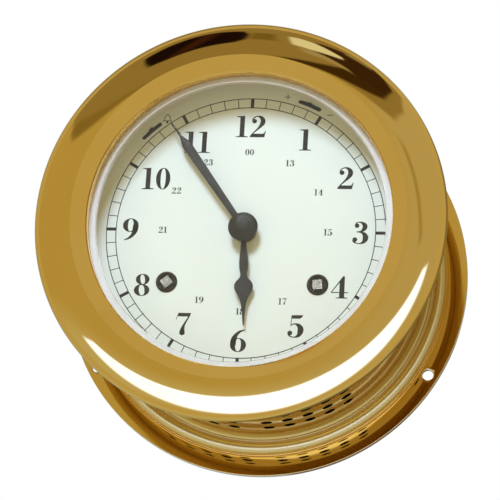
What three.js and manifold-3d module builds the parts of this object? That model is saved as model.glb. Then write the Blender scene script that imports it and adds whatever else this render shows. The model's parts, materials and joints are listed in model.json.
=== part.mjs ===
// Ship's bell clock: a round brass bulkhead clock with a screw-on bezel, an eight-day
// two-barrel movement, a lever escapement and a hammer and bell behind the movement.
// Millimetres. The clock is built lying on its back in a group: x to three o'clock,
// y to twelve o'clock, z from the wall to the reader. The group stands it upright.
import * as THREE from 'three';
import { mergeVertices } from 'three/addons/utils/BufferGeometryUtils.js';
import Module from 'manifold-3d';

const wasm = await Module();
wasm.setup();

// Clearances
const seatGap = 0.3;
const turningGap = 0.3;

// How many flats stand for a round, from the case down to a pivot
const roundSides = 36;
const drumSides = 16;
const smallSides = 8;
const screwSides = 6;
const pivotSides = 5;

// Case
const wallRadius = 66;
const wallThickness = 2.6;
const caseDepth = 84;
const flangeRadius = 81.8;
const flangeThickness = 3.2;
const mouldingWidth = 7.6;
const mouldingHeight = 5.4;
const fixingHoleRadius = 2.25;
const fixingToRim = 4.2;
const fixingAngles = [90, 210, 330];

// Back cover
const coverThickness = 2.2;
const coverLedge = 5;
const coverScrewRadius = 1.1;

// Sound holes in the underside
const soundHoleRadius = 2.25;
const soundColumnStep = 7.2;
const soundColumnsPerSide = 5;
const soundFirstColumn = 6;
const soundRows = 3;
const soundRowStep = 8.4;
const soundRowsMiddle = 27.6;

// Bezel
const bezelRadius = 78;
const bezelLipRadius = 58;
const bezelCrestRadius = 67;
const bezelCrestRise = 6;
const bezelLimbDrop = 3.6;
const bezelLipSet = 2.8;
const bezelSkirtReach = 6.4;
const bezelSkirtRadius = 70.4;

// Glass
const glassEdgeThickness = 2.9;
const glassRise = 1.3;
const glassBevelWidth = 4.3;
const glassOverlap = 2.4;
const dialToGlass = 12;
const gasketThickness = 0.6;
const gasketWidth = 1.8;
const retainerThickness = 1.8;

// Dial
const dialThickness = 1.2;
const dialEdgeGap = 0.7;
const windingHoleRadius = 3.9;
const grommetWall = 0.5;
const grommetLip = 0.7;
const leverCircle = 56;
const leverSlotWidth = 1.8;
const leverSlotSpan = 10;
const silentLeverAngle = 134;
const regulatorLeverAngle = 66.4;

// Movement frame
const plateRadius = 54;
const plateThickness = 2.4;
const pillarRadius = 3.2;
const pillarStudRadius = 1.5;
const pillarCircle = 48;
const pillarAngles = [30, 108, 170, 270];
const lugWidth = 12;
const lugDepth = 4.5;
const lugInner = 50;
const motionSpace = 7.2;

// Winding
const barrelX = 28.9;
const barrelY = -20.8;
const windingArborRadius = 2.9;
const windingSquare = 3.6;
const squareProud = 0.8;
const goingSquareTurn = 5;
const strikeSquareTurn = 40;
const ratchetRadius = 8.6;
const ratchetTeeth = 24;
const ratchetThickness = 2;
const barrelWheelThickness = 2;
const drumLength = 14.3;
const drumRadius = 17;
const drumWall = 1.4;
const barrelToPlate = 2.3;
const wheelToDrum = 2;
const wheelToPlate = 1;

// Wheels: how deep teeth stand above and below the pitch circle, in modules
const wheelAddendum = 0.52;
const wheelDedendum = 1.25;
const leafAddendum = 0.55;
const leafDedendum = 1.15;
const leafFoot = 0.17;
const wheelThickness = 1.4;
const leafLength = 2.8;
const arborRadius = 1.2;
const pivotRadius = 0.6;

const leaves = 6;
const barrelTeeth = 36;
const secondTeeth = 30;
const centreTeeth = 48;
const thirdTeeth = 45;
const fourthTeeth = 48;
const escapeTeeth = 15;
const pinTeeth = 40;
const warningTeeth = 36;
const cannonLeaves = 10;
const minuteTeeth = 30;
const minuteLeaves = 8;
const hourTeeth = 32;
const barrelModule = 1;
const goingSecondModule = 0.93;
const strikeSecondModule = 0.9;
const centreModule = 0.6;
const thirdModule = 0.5;
const fourthModule = 0.44;
const pinModule = 0.5;
const warningModule = 0.45;
const motionModule = 0.62;
const centreArborRadius = 1.3;
const barrelCoverThickness = 1.5;
const escapeRadius = 6.5;
const escapeRootRatio = 0.76;
const escapeThickness = 1;
const palletClearance = 2.6;
const balanceRadius = 8.6;
const palletToBalance = 10.6;
const leverPivotCircle = 30;
const flySpan = 10.4;
const flyHeight = 3.2;

// Hands
const hourHandRadius = 38;
const minuteHandRadius = 52;
const handThickness = 0.6;
const handBossRadius = 5;
const hourHandProud = 2.6;
const handSpacing = 1.2;
const handNutRadius = 5.7;
const handNutHeight = 2.2;
const handNutThread = 1.4;
const handNutBoss = 2.8;
const handNutBossRise = 0.66;
const minuteHour = 5;
const minuteMinute = 54;

// Bell and hammer
const bellRadius = 36;
const bellToPlate = 8.8;
const bellWall = 1.6;
const bellDrop = 8;
const bellBack = 6;
const hammerHeadRadius = 4;

// Heights worked out from the sizes above, from the wall to the reader
const degree = Math.PI / 180;
const wallInner = wallRadius - wallThickness;
const pivotEntry = plateThickness * 0.7;
const rebateDepth = coverThickness + seatGap;
const fixingCircle = flangeRadius - fixingToRim;
const coverScrewCircle = wallInner + coverLedge / 2;
const bezelCrestHeight = caseDepth + bezelCrestRise;
const bezelLimbHeight = bezelCrestHeight - bezelLimbDrop;
const bezelSkirtHeight = caseDepth - bezelSkirtReach;
const lipBack = caseDepth - bezelLipSet;
const glassEdgeFront = lipBack - seatGap;
const glassBack = glassEdgeFront - glassEdgeThickness;
const dialFront = glassBack - dialToGlass;
const dialBack = dialFront - dialThickness;
const frontPlateFront = dialBack - motionSpace;
const frontPlateBack = frontPlateFront - plateThickness;
const secondWheelBack = frontPlateBack - wheelThickness - wheelToPlate;
const drumFront = secondWheelBack - wheelToDrum;
const drumBack = drumFront - drumLength;
const barrelWheelBack = drumBack - barrelWheelThickness;
const backPlateFront = barrelWheelBack - barrelToPlate;
const movementBack = backPlateFront - plateThickness;
const bellDepth = movementBack - bellBack - bellToPlate;
const glassRadius = bezelLipRadius + glassOverlap;
const hourHandBack = dialFront + hourHandProud;
const hourHandFront = hourHandBack + handThickness;
const minuteHandBack = hourHandFront + handSpacing;
const minuteHandFront = minuteHandBack + handThickness;
const handNutBack = minuteHandFront + seatGap;

const polishedBrass = { color: '#b8923f', roughness: 0.16, metalness: 1 };
const plainBrass = { color: '#b39145', roughness: 0.34, metalness: 1 };
const steel = { color: '#9a9a98', roughness: 0.32, metalness: 1 };
const darkSteel = { color: '#2c2a24', roughness: 0.42, metalness: 0.6 };
const whitePaint = { color: '#ecf0e4', roughness: 0.5, metalness: 0 };
const clearGlass = { color: '#f4f8f6', roughness: 0.03, metalness: 0, transparent: true, opacity: 0.25 };
const blackRubber = { color: '#1c1b19', roughness: 0.8, metalness: 0 };

// Solids

function facingOut(geometry) {
  const place = geometry.getAttribute('position');
  const corners = geometry.index.array;
  const a = new THREE.Vector3();
  const b = new THREE.Vector3();
  const c = new THREE.Vector3();
  let volume = 0;
  for (let i = 0; i < corners.length; i += 3) {
    a.fromBufferAttribute(place, corners[i]);
    b.fromBufferAttribute(place, corners[i + 1]);
    c.fromBufferAttribute(place, corners[i + 2]);
    volume += a.dot(b.cross(c));
  }
  if (volume < 0) {
    for (let i = 0; i < corners.length; i += 3) {
      const swapped = corners[i + 1];
      corners[i + 1] = corners[i + 2];
      corners[i + 2] = swapped;
    }
  }
  return geometry;
}

function welded(geometry) {
  geometry.deleteAttribute('normal');
  geometry.deleteAttribute('uv');
  const merged = mergeVertices(geometry, 1e-4);
  const corners = merged.index.array;
  const kept = [];
  for (let i = 0; i < corners.length; i += 3) {
    const [a, b, c] = [corners[i], corners[i + 1], corners[i + 2]];
    if (a !== b && b !== c && c !== a) {
      kept.push(a, b, c);
    }
  }
  merged.setIndex(kept);
  return facingOut(merged);
}

function turned(profile, sides = roundSides) {
  const outline = profile.map(([radius, height]) => new THREE.Vector2(radius, height));
  const geometry = new THREE.LatheGeometry(outline, sides);
  geometry.rotateX(Math.PI / 2);
  return welded(geometry);
}

function disc(radius, back, front, sides = smallSides) {
  return turned([[0, back], [radius, back], [radius, front], [0, front]], sides);
}

function ring(inner, outer, back, front, sides = roundSides) {
  return turned([[inner, back], [outer, back], [outer, front], [inner, front], [inner, back]], sides);
}

function extruded(shape, back, front, curveSegments = 6) {
  const geometry = new THREE.ExtrudeGeometry(shape, {
    depth: front - back,
    bevelEnabled: false,
    curveSegments,
  });
  geometry.translate(0, 0, back);
  return welded(geometry);
}

function outlined(points) {
  return new THREE.Shape(points.map(([x, y]) => new THREE.Vector2(x, y)));
}

function asManifold(geometry) {
  return new wasm.Manifold(new wasm.Mesh({
    numProp: 3,
    vertProperties: new Float32Array(geometry.getAttribute('position').array),
    triVerts: new Uint32Array(geometry.index.array),
  }));
}

function asGeometry(manifold) {
  const mesh = manifold.getMesh();
  const geometry = new THREE.BufferGeometry();
  geometry.setAttribute('position', new THREE.BufferAttribute(mesh.vertProperties, 3));
  geometry.setIndex(new THREE.BufferAttribute(mesh.triVerts, 1));
  return geometry;
}

function cut(body, tools) {
  const whole = tools.reduce((left, tool) => left.subtract(asManifold(tool)), asManifold(body));
  return asGeometry(whole);
}

function join(first, ...others) {
  const whole = others.reduce((sum, other) => sum.add(asManifold(other)), asManifold(first));
  return asGeometry(whole);
}

function moved(geometry, x, y, angle = 0) {
  const copy = geometry.clone();
  copy.rotateZ(angle);
  copy.translate(x, y, 0);
  return copy;
}

function onCircle(radius, angleDegrees) {
  return [radius * Math.cos(angleDegrees * degree), radius * Math.sin(angleDegrees * degree)];
}

function roundArray(geometry, radius, anglesDegrees) {
  return anglesDegrees.map((angle) => moved(geometry, ...onCircle(radius, angle), angle * degree));
}

const clock = new THREE.Group();

function add(name, geometry, finish, [x, y] = [0, 0]) {
  const mesh = new THREE.Mesh(geometry, new THREE.MeshStandardMaterial(finish));
  mesh.name = name;
  mesh.position.set(x, y, 0);
  clock.add(mesh);
}

// Case: a spun wall on a moulded flange, open at the back for the cover

function quarterRound([fromRadius, fromHeight], [toRadius, toHeight], steps, bulge) {
  const points = [];
  for (let i = 0; i <= steps; i += 1) {
    const turn = (i / steps) * Math.PI / 2;
    const along = bulge ? Math.sin(turn) : 1 - Math.cos(turn);
    const rise = bulge ? 1 - Math.cos(turn) : Math.sin(turn);
    points.push([fromRadius + (toRadius - fromRadius) * along, fromHeight + (toHeight - fromHeight) * rise]);
  }
  return points;
}

const mouldingFoot = wallRadius + mouldingWidth;
const beadOuter = wallRadius + mouldingWidth * 0.95;
const beadTop = flangeThickness + mouldingHeight * 0.62;
const beadInner = wallRadius + mouldingWidth * 0.42;
const grooveFloor = flangeThickness + mouldingHeight * 0.5;
const coveTop = flangeThickness + mouldingHeight;

function caseProfile() {
  const rimRound = flangeThickness * 0.4;
  const ledgeRadius = wallInner + coverLedge;
  return [
    [wallInner, rebateDepth],
    [ledgeRadius, rebateDepth],
    [ledgeRadius, 0],
    [flangeRadius - rimRound, 0],
    [flangeRadius, rimRound],
    [flangeRadius, flangeThickness - rimRound],
    [flangeRadius - rimRound, flangeThickness],
    [mouldingFoot, flangeThickness],
    ...quarterRound([beadOuter, flangeThickness + 0.4], [beadInner, beadTop], 3, false),
    [beadInner - 0.5, grooveFloor],
    ...quarterRound([beadInner - 1.2, grooveFloor], [wallRadius, coveTop], 2, true),
    [wallRadius, caseDepth],
    [wallInner, caseDepth],
    [wallInner, rebateDepth],
  ];
}

function wallDrill(radius, angleDegrees, height, sides) {
  const drill = new THREE.CylinderGeometry(radius, radius, wallThickness * 3, sides);
  drill.rotateZ(Math.PI / 2);
  drill.translate(wallRadius - wallThickness / 2, 0, height);
  drill.rotateZ(angleDegrees * degree);
  return welded(drill);
}

function soundHoles() {
  const drills = [];
  const [sides, below] = [screwSides, 270];
  for (let column = 0; column < soundColumnsPerSide; column += 1) {
    const away = soundFirstColumn + column * soundColumnStep;
    for (let row = 0; row < soundRows; row += 1) {
      const height = soundRowsMiddle + (row - (soundRows - 1) / 2) * soundRowStep;
      drills.push(wallDrill(soundHoleRadius, below - away, height, sides));
      drills.push(wallDrill(soundHoleRadius, below + away, height, sides));
    }
  }
  return drills;
}

const sideScrewHeight = movementBack - lugDepth / 2;
const sideScrewRadius = 1.2;
const sideScrewHoleRadius = 1.9;
const sideScrewHeadDepth = 1.2;
const sideScrewReach = 6.4;
const coverScrewAngles = [30, 150, 270];
const coverScrewGrip = 1.6;
const fixingDrill = disc(fixingHoleRadius, -1, flangeThickness + 1, smallSides);
const ledgeDrill = disc(coverScrewRadius + turningGap, -1, rebateDepth + coverScrewGrip + seatGap, screwSides);

add('case_body', cut(turned(caseProfile()), [
  ...roundArray(fixingDrill, fixingCircle, fixingAngles),
  ...roundArray(ledgeDrill, coverScrewCircle, coverScrewAngles),
  ...fixingAngles.map((angle) => wallDrill(sideScrewHoleRadius, angle, sideScrewHeight, screwSides)),
  ...soundHoles(),
]), polishedBrass);

// Back cover: a flat disc let into the flange, held by countersunk screws

const coverRadius = wallInner + coverLedge - turningGap;
const coverScrewHead = 1.9;
const countersinkDepth = 1;
const countersink = turned([
  [0, -0.1],
  [coverScrewHead + turningGap, -0.1],
  [coverScrewHead + turningGap, 0.1],
  [coverScrewRadius + turningGap, countersinkDepth + 0.1],
  [coverScrewRadius + turningGap, coverThickness + 1],
  [0, coverThickness + 1],
], screwSides);
add('back_cover', cut(disc(coverRadius, 0, coverThickness, roundSides),
  roundArray(countersink, coverScrewCircle, coverScrewAngles)), plainBrass);

const coverScrew = turned([
  [0, 0.15],
  [coverScrewHead, 0.15],
  [coverScrewRadius, countersinkDepth],
  [coverScrewRadius, rebateDepth + coverScrewGrip],
  [0, rebateDepth + coverScrewGrip],
], screwSides);
coverScrewAngles.forEach((angle, i) => {
  add(`back_cover_screw_${i + 1}`, coverScrew.clone(), steel, onCircle(coverScrewCircle, angle));
});

// Wheel train: where every arbor stands, seen from the front

function meeting([ax, ay], aRadius, [bx, by], bRadius, side) {
  const apart = Math.hypot(bx - ax, by - ay);
  const along = (aRadius * aRadius - bRadius * bRadius + apart * apart) / (2 * apart);
  const off = side * Math.sqrt(aRadius * aRadius - along * along);
  const [ux, uy] = [(bx - ax) / apart, (by - ay) / apart];
  return [ax + ux * along - uy * off, ay + uy * along + ux * off];
}

function beyond([x, y], distance, angleDegrees) {
  const [dx, dy] = onCircle(distance, angleDegrees);
  return [x + dx, y + dy];
}

function bearing([ax, ay], [bx, by]) {
  return Math.atan2(by - ay, bx - ax);
}

function spread(teeth, module) {
  return (teeth + leaves) * module / 2;
}

const centreAt = [0, 0];
const goingBarrelAt = [barrelX, barrelY];
const strikeBarrelAt = [-barrelX, barrelY];
const goingSecondAt = meeting(centreAt, spread(secondTeeth, goingSecondModule),
  goingBarrelAt, spread(barrelTeeth, barrelModule), 1);
const thirdAt = beyond(centreAt, spread(centreTeeth, centreModule), 75);
const fourthAt = beyond(thirdAt, spread(thirdTeeth, thirdModule), 20);
const escapeAt = beyond(fourthAt, spread(fourthTeeth, fourthModule), 75);
const palletAt = beyond(escapeAt, escapeRadius + palletClearance, 160);
const balanceAt = beyond(palletAt, palletToBalance, 160);
const strikeSecondAt = beyond(strikeBarrelAt, spread(barrelTeeth, barrelModule), 75);
const pinWheelAt = beyond(strikeSecondAt, spread(secondTeeth, strikeSecondModule), 95);
const warningAt = beyond(pinWheelAt, spread(pinTeeth, pinModule), 60);
const flyAt = beyond(warningAt, spread(warningTeeth, warningModule), 60);
const minuteWheelAt = onCircle((cannonLeaves + minuteTeeth) * motionModule / 2, 205);
const hammerAt = [-31.5, 27.5];
const bellAt = [0, -bellDrop];
const silentPivotAt = onCircle(leverPivotCircle, silentLeverAngle);
const regulatorPivotAt = onCircle(leverPivotCircle, regulatorLeverAngle);

// Teeth: a pointed tooth on a wheel, and on a pinion a narrower leaf with a flat between leaves

function toothedShape({ teeth, module, phase = 0, leaf = false, bore = 0, boreSides = smallSides }) {
  const pitchRadius = teeth * module / 2;
  const tip = pitchRadius + module * (leaf ? leafAddendum : wheelAddendum);
  const root = pitchRadius - module * (leaf ? leafDedendum : wheelDedendum);
  const pitch = 2 * Math.PI / teeth;
  const points = [];
  for (let tooth = 0; tooth < teeth; tooth += 1) {
    const middle = phase + tooth * pitch;
    if (leaf) {
      points.push(polar(root, middle - pitch * leafFoot), polar(tip, middle), polar(root, middle + pitch * leafFoot));
    } else {
      points.push(polar(root, middle - pitch / 2), polar(tip, middle));
    }
  }
  const shape = outlined(points);
  if (bore > 0) {
    shape.holes.push(roundPath(bore, boreSides));
  }
  return shape;
}

function polar(radius, angle) {
  return [radius * Math.cos(angle), radius * Math.sin(angle)];
}

function roundPath(radius, sides, [x, y] = [0, 0]) {
  const path = new THREE.Path();
  for (let i = 0; i <= sides; i += 1) {
    const [px, py] = polar(radius, (i / sides) * 2 * Math.PI);
    if (i === 0) {
      path.moveTo(x + px, y + py);
    } else {
      path.lineTo(x + px, y + py);
    }
  }
  return path;
}

// The turn of a driven gear that puts its gap opposite the driver's tooth

function meshPhase(driverPhase, driverTeeth, drivenTeeth, direction) {
  const driverPitch = 2 * Math.PI / driverTeeth;
  const drivenPitch = 2 * Math.PI / drivenTeeth;
  return direction + Math.PI - drivenPitch * ((driverPhase - direction) / driverPitch + 0.5);
}

// A wheel riveted to its pinion on one arbor with a pivot at each end

function arbor({ radius = arborRadius, back = backPlateFront, front = frontPlateBack, pivot = pivotRadius }) {
  return turned([
    [0, back - pivotEntry],
    [pivot, back - pivotEntry],
    [pivot, back + seatGap],
    [radius, back + seatGap],
    [radius, front - seatGap],
    [pivot, front - seatGap],
    [pivot, front + pivotEntry],
    [0, front + pivotEntry],
  ], pivotSides);
}

function wheelOnArbor({ wheel, wheelBack, pinion, pinionBack }) {
  const wheelSolid = extruded(toothedShape(wheel), wheelBack, wheelBack + wheelThickness);
  const pinionSolid = extruded(toothedShape({ ...pinion, leaf: true }), pinionBack, pinionBack + leafLength);
  return join(arbor({}), wheelSolid, pinionSolid);
}

// Going train, from the barrel to the escape wheel

const firstPhase = 0;
const centreWheelBack = drumBack + 2;
const thirdWheelBack = centreWheelBack + 3.5;
const fourthWheelBack = thirdWheelBack + 3;
const escapeWheelBack = fourthWheelBack + 3;
const leafMargin = (leafLength - wheelThickness) / 2;

const goingSecondPhase = meshPhase(firstPhase, barrelTeeth, leaves, bearing(goingBarrelAt, goingSecondAt));
const centrePhase = meshPhase(firstPhase, secondTeeth, leaves, bearing(goingSecondAt, centreAt));
const thirdPhase = meshPhase(firstPhase, centreTeeth, leaves, bearing(centreAt, thirdAt));
const fourthPhase = meshPhase(firstPhase, thirdTeeth, leaves, bearing(thirdAt, fourthAt));
const escapePhase = meshPhase(firstPhase, fourthTeeth, leaves, bearing(fourthAt, escapeAt));
const firstPinionBack = barrelWheelBack - 0.4;
const secondPinionBack = secondWheelBack - leafMargin;

add('going_second_wheel', wheelOnArbor({
  wheel: { teeth: secondTeeth, module: goingSecondModule },
  wheelBack: secondWheelBack,
  pinion: { teeth: leaves, module: barrelModule, phase: goingSecondPhase },
  pinionBack: firstPinionBack,
}), plainBrass, goingSecondAt);

const centreArbor = turned([
  [0, backPlateFront - pivotEntry],
  [pivotRadius, backPlateFront - pivotEntry],
  [pivotRadius, backPlateFront + seatGap],
  [centreArborRadius, backPlateFront + seatGap],
  [centreArborRadius, handNutBack + handNutThread],
  [0, handNutBack + handNutThread],
], screwSides);
add('centre_wheel', join(
  centreArbor,
  extruded(toothedShape({ teeth: centreTeeth, module: centreModule }), centreWheelBack,
    centreWheelBack + wheelThickness),
  extruded(toothedShape({ teeth: leaves, module: goingSecondModule, phase: centrePhase, leaf: true }),
    secondPinionBack, secondPinionBack + leafLength - 0.2),
), plainBrass, centreAt);

add('third_wheel', wheelOnArbor({
  wheel: { teeth: thirdTeeth, module: thirdModule },
  wheelBack: thirdWheelBack,
  pinion: { teeth: leaves, module: centreModule, phase: thirdPhase },
  pinionBack: centreWheelBack - leafMargin,
}), plainBrass, thirdAt);

add('fourth_wheel', wheelOnArbor({
  wheel: { teeth: fourthTeeth, module: fourthModule },
  wheelBack: fourthWheelBack,
  pinion: { teeth: leaves, module: thirdModule, phase: fourthPhase },
  pinionBack: thirdWheelBack - leafMargin,
}), plainBrass, fourthAt);

// Escapement: a club-tooth wheel, a lever with two pallets, and a balance with its spring

function escapeShape() {
  const points = [];
  const pitch = 2 * Math.PI / escapeTeeth;
  for (let tooth = 0; tooth < escapeTeeth; tooth += 1) {
    const start = tooth * pitch;
    points.push(polar(escapeRadius * escapeRootRatio, start));
    points.push(polar(escapeRadius, start + pitch * 0.3));
    points.push(polar(escapeRadius * 0.97, start + pitch * 0.5));
    points.push(polar(escapeRadius * escapeRootRatio, start + pitch * 0.45));
  }
  return outlined(points);
}

add('escape_wheel', join(
  arbor({}),
  extruded(escapeShape(), escapeWheelBack, escapeWheelBack + escapeThickness),
  extruded(toothedShape({ teeth: leaves, module: fourthModule, phase: escapePhase, leaf: true }),
    fourthWheelBack - leafMargin, fourthWheelBack - leafMargin + leafLength),
), steel, escapeAt);

const palletSpan = escapeRadius * escapeRootRatio;
const palletReach = escapeRadius + palletClearance - Math.sqrt((escapeRadius + 1) ** 2 - palletSpan ** 2);
const palletBody = outlined([
  [-1.4, 0.6],
  [-palletSpan - 0.6, -palletReach + 0.8],
  [-palletSpan, -palletReach],
  [0, -1.4],
  [palletSpan, -palletReach],
  [palletSpan + 0.6, -palletReach + 0.8],
  [1.4, 0.6],
  [0.5, palletToBalance - 4.4],
  [1.3, palletToBalance - 2.6],
  [0.6, palletToBalance - 2.8],
  [0, palletToBalance - 3.6],
  [-0.6, palletToBalance - 2.8],
  [-1.3, palletToBalance - 2.6],
  [-0.5, palletToBalance - 4.4],
]);
const palletTurn = bearing(palletAt, balanceAt) - Math.PI / 2;
const palletPlate = extruded(palletBody, escapeWheelBack, escapeWheelBack + escapeThickness);
palletPlate.rotateZ(palletTurn);
add('pallet_lever', join(arbor({ radius: 0.9 }), palletPlate), steel, palletAt);

const balanceBack = escapeWheelBack + 2.4;
const cockThickness = 2;
const cockBack = frontPlateFront + seatGap;
const staffHoleRadius = 2;

function balanceShape() {
  const shape = new THREE.Shape().setFromPoints(roundPath(balanceRadius, drumSides).getPoints());
  const spokes = 3;
  const rimInner = balanceRadius - 1.4;
  for (let i = 0; i < spokes; i += 1) {
    const from = (i / spokes) * 2 * Math.PI + 0.16;
    const to = ((i + 1) / spokes) * 2 * Math.PI - 0.16;
    const window = new THREE.Path();
    window.moveTo(...polar(2.2, (from + to) / 2));
    window.lineTo(...polar(rimInner, to));
    for (let step = 1; step <= 4; step += 1) {
      window.lineTo(...polar(rimInner, to + (from - to) * (step / 4)));
    }
    window.closePath();
    shape.holes.push(window);
  }
  return shape;
}

const balanceStaff = turned([
  [0, backPlateFront - pivotEntry],
  [pivotRadius, backPlateFront - pivotEntry],
  [pivotRadius, backPlateFront + seatGap],
  [arborRadius, backPlateFront + seatGap],
  [arborRadius, cockBack - seatGap],
  [pivotRadius, cockBack - seatGap],
  [pivotRadius, cockBack + cockThickness * 0.7],
  [0, cockBack + cockThickness * 0.7],
], pivotSides);
const roller = disc(1.9, escapeWheelBack - 0.2, escapeWheelBack + 1.2, screwSides);
add('balance_wheel', join(balanceStaff, roller,
  extruded(balanceShape(), balanceBack, balanceBack + 1.2)), plainBrass, balanceAt);

function spiralShape(inner, outer, turns, width, stepsPerTurn) {
  const steps = turns * stepsPerTurn;
  const edge = (offset) => Array.from({ length: steps + 1 }, (_, i) => {
    const share = i / steps;
    return polar(inner + (outer - inner) * share + offset, share * turns * 2 * Math.PI);
  });
  return outlined([...edge(width / 2), ...edge(-width / 2).reverse()]);
}

const hairspringBack = balanceBack + 2;
add('hairspring', join(
  extruded(spiralShape(2, 6.4, 3, 0.3, 8), hairspringBack, hairspringBack + 0.6),
  ring(arborRadius + turningGap, 2.3, hairspringBack, hairspringBack + 0.6, screwSides),
), steel, balanceAt);

const cockFootAt = beyond(balanceAt, 9, 20);
function barShape(from, to, halfWidth, sides = 6) {
  const turn = bearing(from, to);
  const points = [];
  for (let i = 0; i <= sides; i += 1) {
    const angle = turn + Math.PI / 2 + (i / sides) * Math.PI;
    points.push([from[0] + halfWidth * Math.cos(angle), from[1] + halfWidth * Math.sin(angle)]);
  }
  for (let i = 0; i <= sides; i += 1) {
    const angle = turn - Math.PI / 2 + (i / sides) * Math.PI;
    points.push([to[0] + halfWidth * Math.cos(angle), to[1] + halfWidth * Math.sin(angle)]);
  }
  return outlined(points);
}
const cockShape = barShape(balanceAt, cockFootAt, 3);
cockShape.holes.push(roundPath(pivotRadius + turningGap, pivotSides, balanceAt));
add('balance_cock', extruded(cockShape, cockBack, cockBack + cockThickness), plainBrass);

// Winding side: barrel, cover, mainspring, arbor, ratchet and click, one set for each train

const drumInner = drumRadius - drumWall;
const coverBack = drumFront - barrelCoverThickness;
const barrelCore = windingArborRadius + 1.3;
const ratchetBack = frontPlateFront + 2 * seatGap;
const squareEnd = dialFront + squareProud;
const clickPivotDistance = ratchetRadius + 4.6;
const clickThickness = ratchetThickness - 0.4;
const studRadius = 1;

function barrelSolid(phase) {
  const wheel = extruded(toothedShape({
    teeth: barrelTeeth,
    module: barrelModule,
    phase,
    bore: windingArborRadius + turningGap,
  }), barrelWheelBack, drumBack);
  return join(wheel, ring(drumInner, drumRadius, barrelWheelBack + 0.5, drumFront, drumSides));
}

function windingArbor(turn) {
  const round = turned([
    [0, backPlateFront - pivotEntry],
    [windingArborRadius * 0.7, backPlateFront - pivotEntry],
    [windingArborRadius * 0.7, backPlateFront + seatGap],
    [windingArborRadius, backPlateFront + seatGap],
    [windingArborRadius, drumBack + seatGap],
    [barrelCore, drumBack + seatGap],
    [barrelCore, coverBack - seatGap],
    [windingArborRadius, coverBack - seatGap],
    [windingArborRadius, frontPlateFront + seatGap],
    [0, frontPlateFront + seatGap],
  ], smallSides);
  const length = squareEnd - frontPlateFront;
  const square = new THREE.BoxGeometry(windingSquare, windingSquare, length);
  square.translate(0, 0, squareEnd - length / 2);
  square.rotateZ(turn * degree);
  return join(round, welded(square));
}

function ratchetShape(turn) {
  const points = [];
  const pitch = 2 * Math.PI / ratchetTeeth;
  for (let tooth = 0; tooth < ratchetTeeth; tooth += 1) {
    points.push(polar(ratchetRadius, tooth * pitch), polar(ratchetRadius * 0.87, tooth * pitch + 0.01));
  }
  const shape = outlined(points);
  const hole = new THREE.Path();
  const corner = (windingSquare / 2 + turningGap) * Math.SQRT2;
  for (let i = 0; i < 4; i += 1) {
    const [x, y] = polar(corner, (turn + 45 + 90 * i) * degree);
    if (i === 0) {
      hole.moveTo(x, y);
    } else {
      hole.lineTo(x, y);
    }
  }
  hole.closePath();
  shape.holes.push(hole);
  return shape;
}

// The click lies beside the ratchet with its nose just clear of the teeth
function clickShape() {
  const nose = clickPivotDistance - ratchetRadius - 0.4;
  const shape = outlined([
    [-2, 2],
    [-2.4, 0],
    [-1.6, -1.8],
    [0.4, -nose + 0.6],
    [2.2, -nose],
    [2.4, -nose + 1.4],
    [2, 0.6],
    [1, 2],
  ]);
  shape.holes.push(roundPath(studRadius + turningGap, screwSides));
  return shape;
}

function addWinding(side, at, phase, squareTurn) {
  add(`${side}_barrel`, barrelSolid(phase), plainBrass, at);
  const coverShape = new THREE.Shape().setFromPoints(roundPath(drumInner - 2 * turningGap, drumSides).getPoints());
  coverShape.holes.push(roundPath(windingArborRadius + turningGap, smallSides));
  add(`${side}_barrel_cover`, extruded(coverShape, coverBack, drumFront - 0.1), plainBrass, at);
  add(`${side}_mainspring`, ring(barrelCore + 0.5, drumInner - 0.4, drumBack + seatGap,
    coverBack - seatGap, drumSides), steel, at);
  add(`${side}_winding_arbor`, windingArbor(squareTurn), steel, at);
  add(`${side}_ratchet_wheel`, extruded(ratchetShape(squareTurn), ratchetBack,
    ratchetBack + ratchetThickness), steel, at);
  add(`${side}_click`, extruded(clickShape(), ratchetBack, ratchetBack + clickThickness), steel,
    beyond(at, clickPivotDistance, 90));
}

addWinding('going', goingBarrelAt, firstPhase, goingSquareTurn);
addWinding('strike', strikeBarrelAt, firstPhase, strikeSquareTurn);

// Motion work behind the dial: cannon pinion, minute wheel and hour wheel with its snail

const cannonBack = frontPlateFront + seatGap;
const minuteWheelBack = frontPlateFront + 1;
const minutePinionBack = minuteWheelBack + wheelThickness;
const hourWheelBack = minutePinionBack + 1.3;
const snailThickness = 1;
const snailSides = 12;
const snailHigh = 9;
const snailLow = 4.8;
const snailTurn = 6 * degree;
const cannonPipe = 2.2;
const hourPipeInner = cannonPipe + turningGap;
const hourPipe = hourPipeInner + 0.8;

const cannonTurn = (90 - minuteMinute * 6) * degree;
const hourTurn = (90 - (minuteHour + minuteMinute / 60) * 30) * degree;
const minuteWheelPhase = meshPhase(firstPhase, cannonLeaves, minuteTeeth, bearing(centreAt, minuteWheelAt));
const hourWheelPhase = meshPhase(firstPhase, minuteLeaves, hourTeeth, bearing(minuteWheelAt, centreAt));

const cannonPinion = extruded(toothedShape({
  teeth: cannonLeaves,
  module: motionModule,
  leaf: true,
  bore: centreArborRadius + turningGap,
}), cannonBack, hourWheelBack - 2 * seatGap);
const cannonTube = ring(centreArborRadius + turningGap, cannonPipe, cannonBack, minuteHandFront, smallSides);
add('cannon_pinion', join(cannonPinion, cannonTube), steel, centreAt);

const minuteWheel = extruded(toothedShape({
  teeth: minuteTeeth,
  module: motionModule,
  phase: minuteWheelPhase,
  bore: studRadius + turningGap,
}), minuteWheelBack, minutePinionBack);
const minutePinion = extruded(toothedShape({
  teeth: minuteLeaves,
  module: motionModule,
  leaf: true,
  bore: studRadius + turningGap,
}), minutePinionBack - 0.2, hourWheelBack + wheelThickness + 0.4);
add('minute_wheel', join(minuteWheel, minutePinion), plainBrass, minuteWheelAt);

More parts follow.
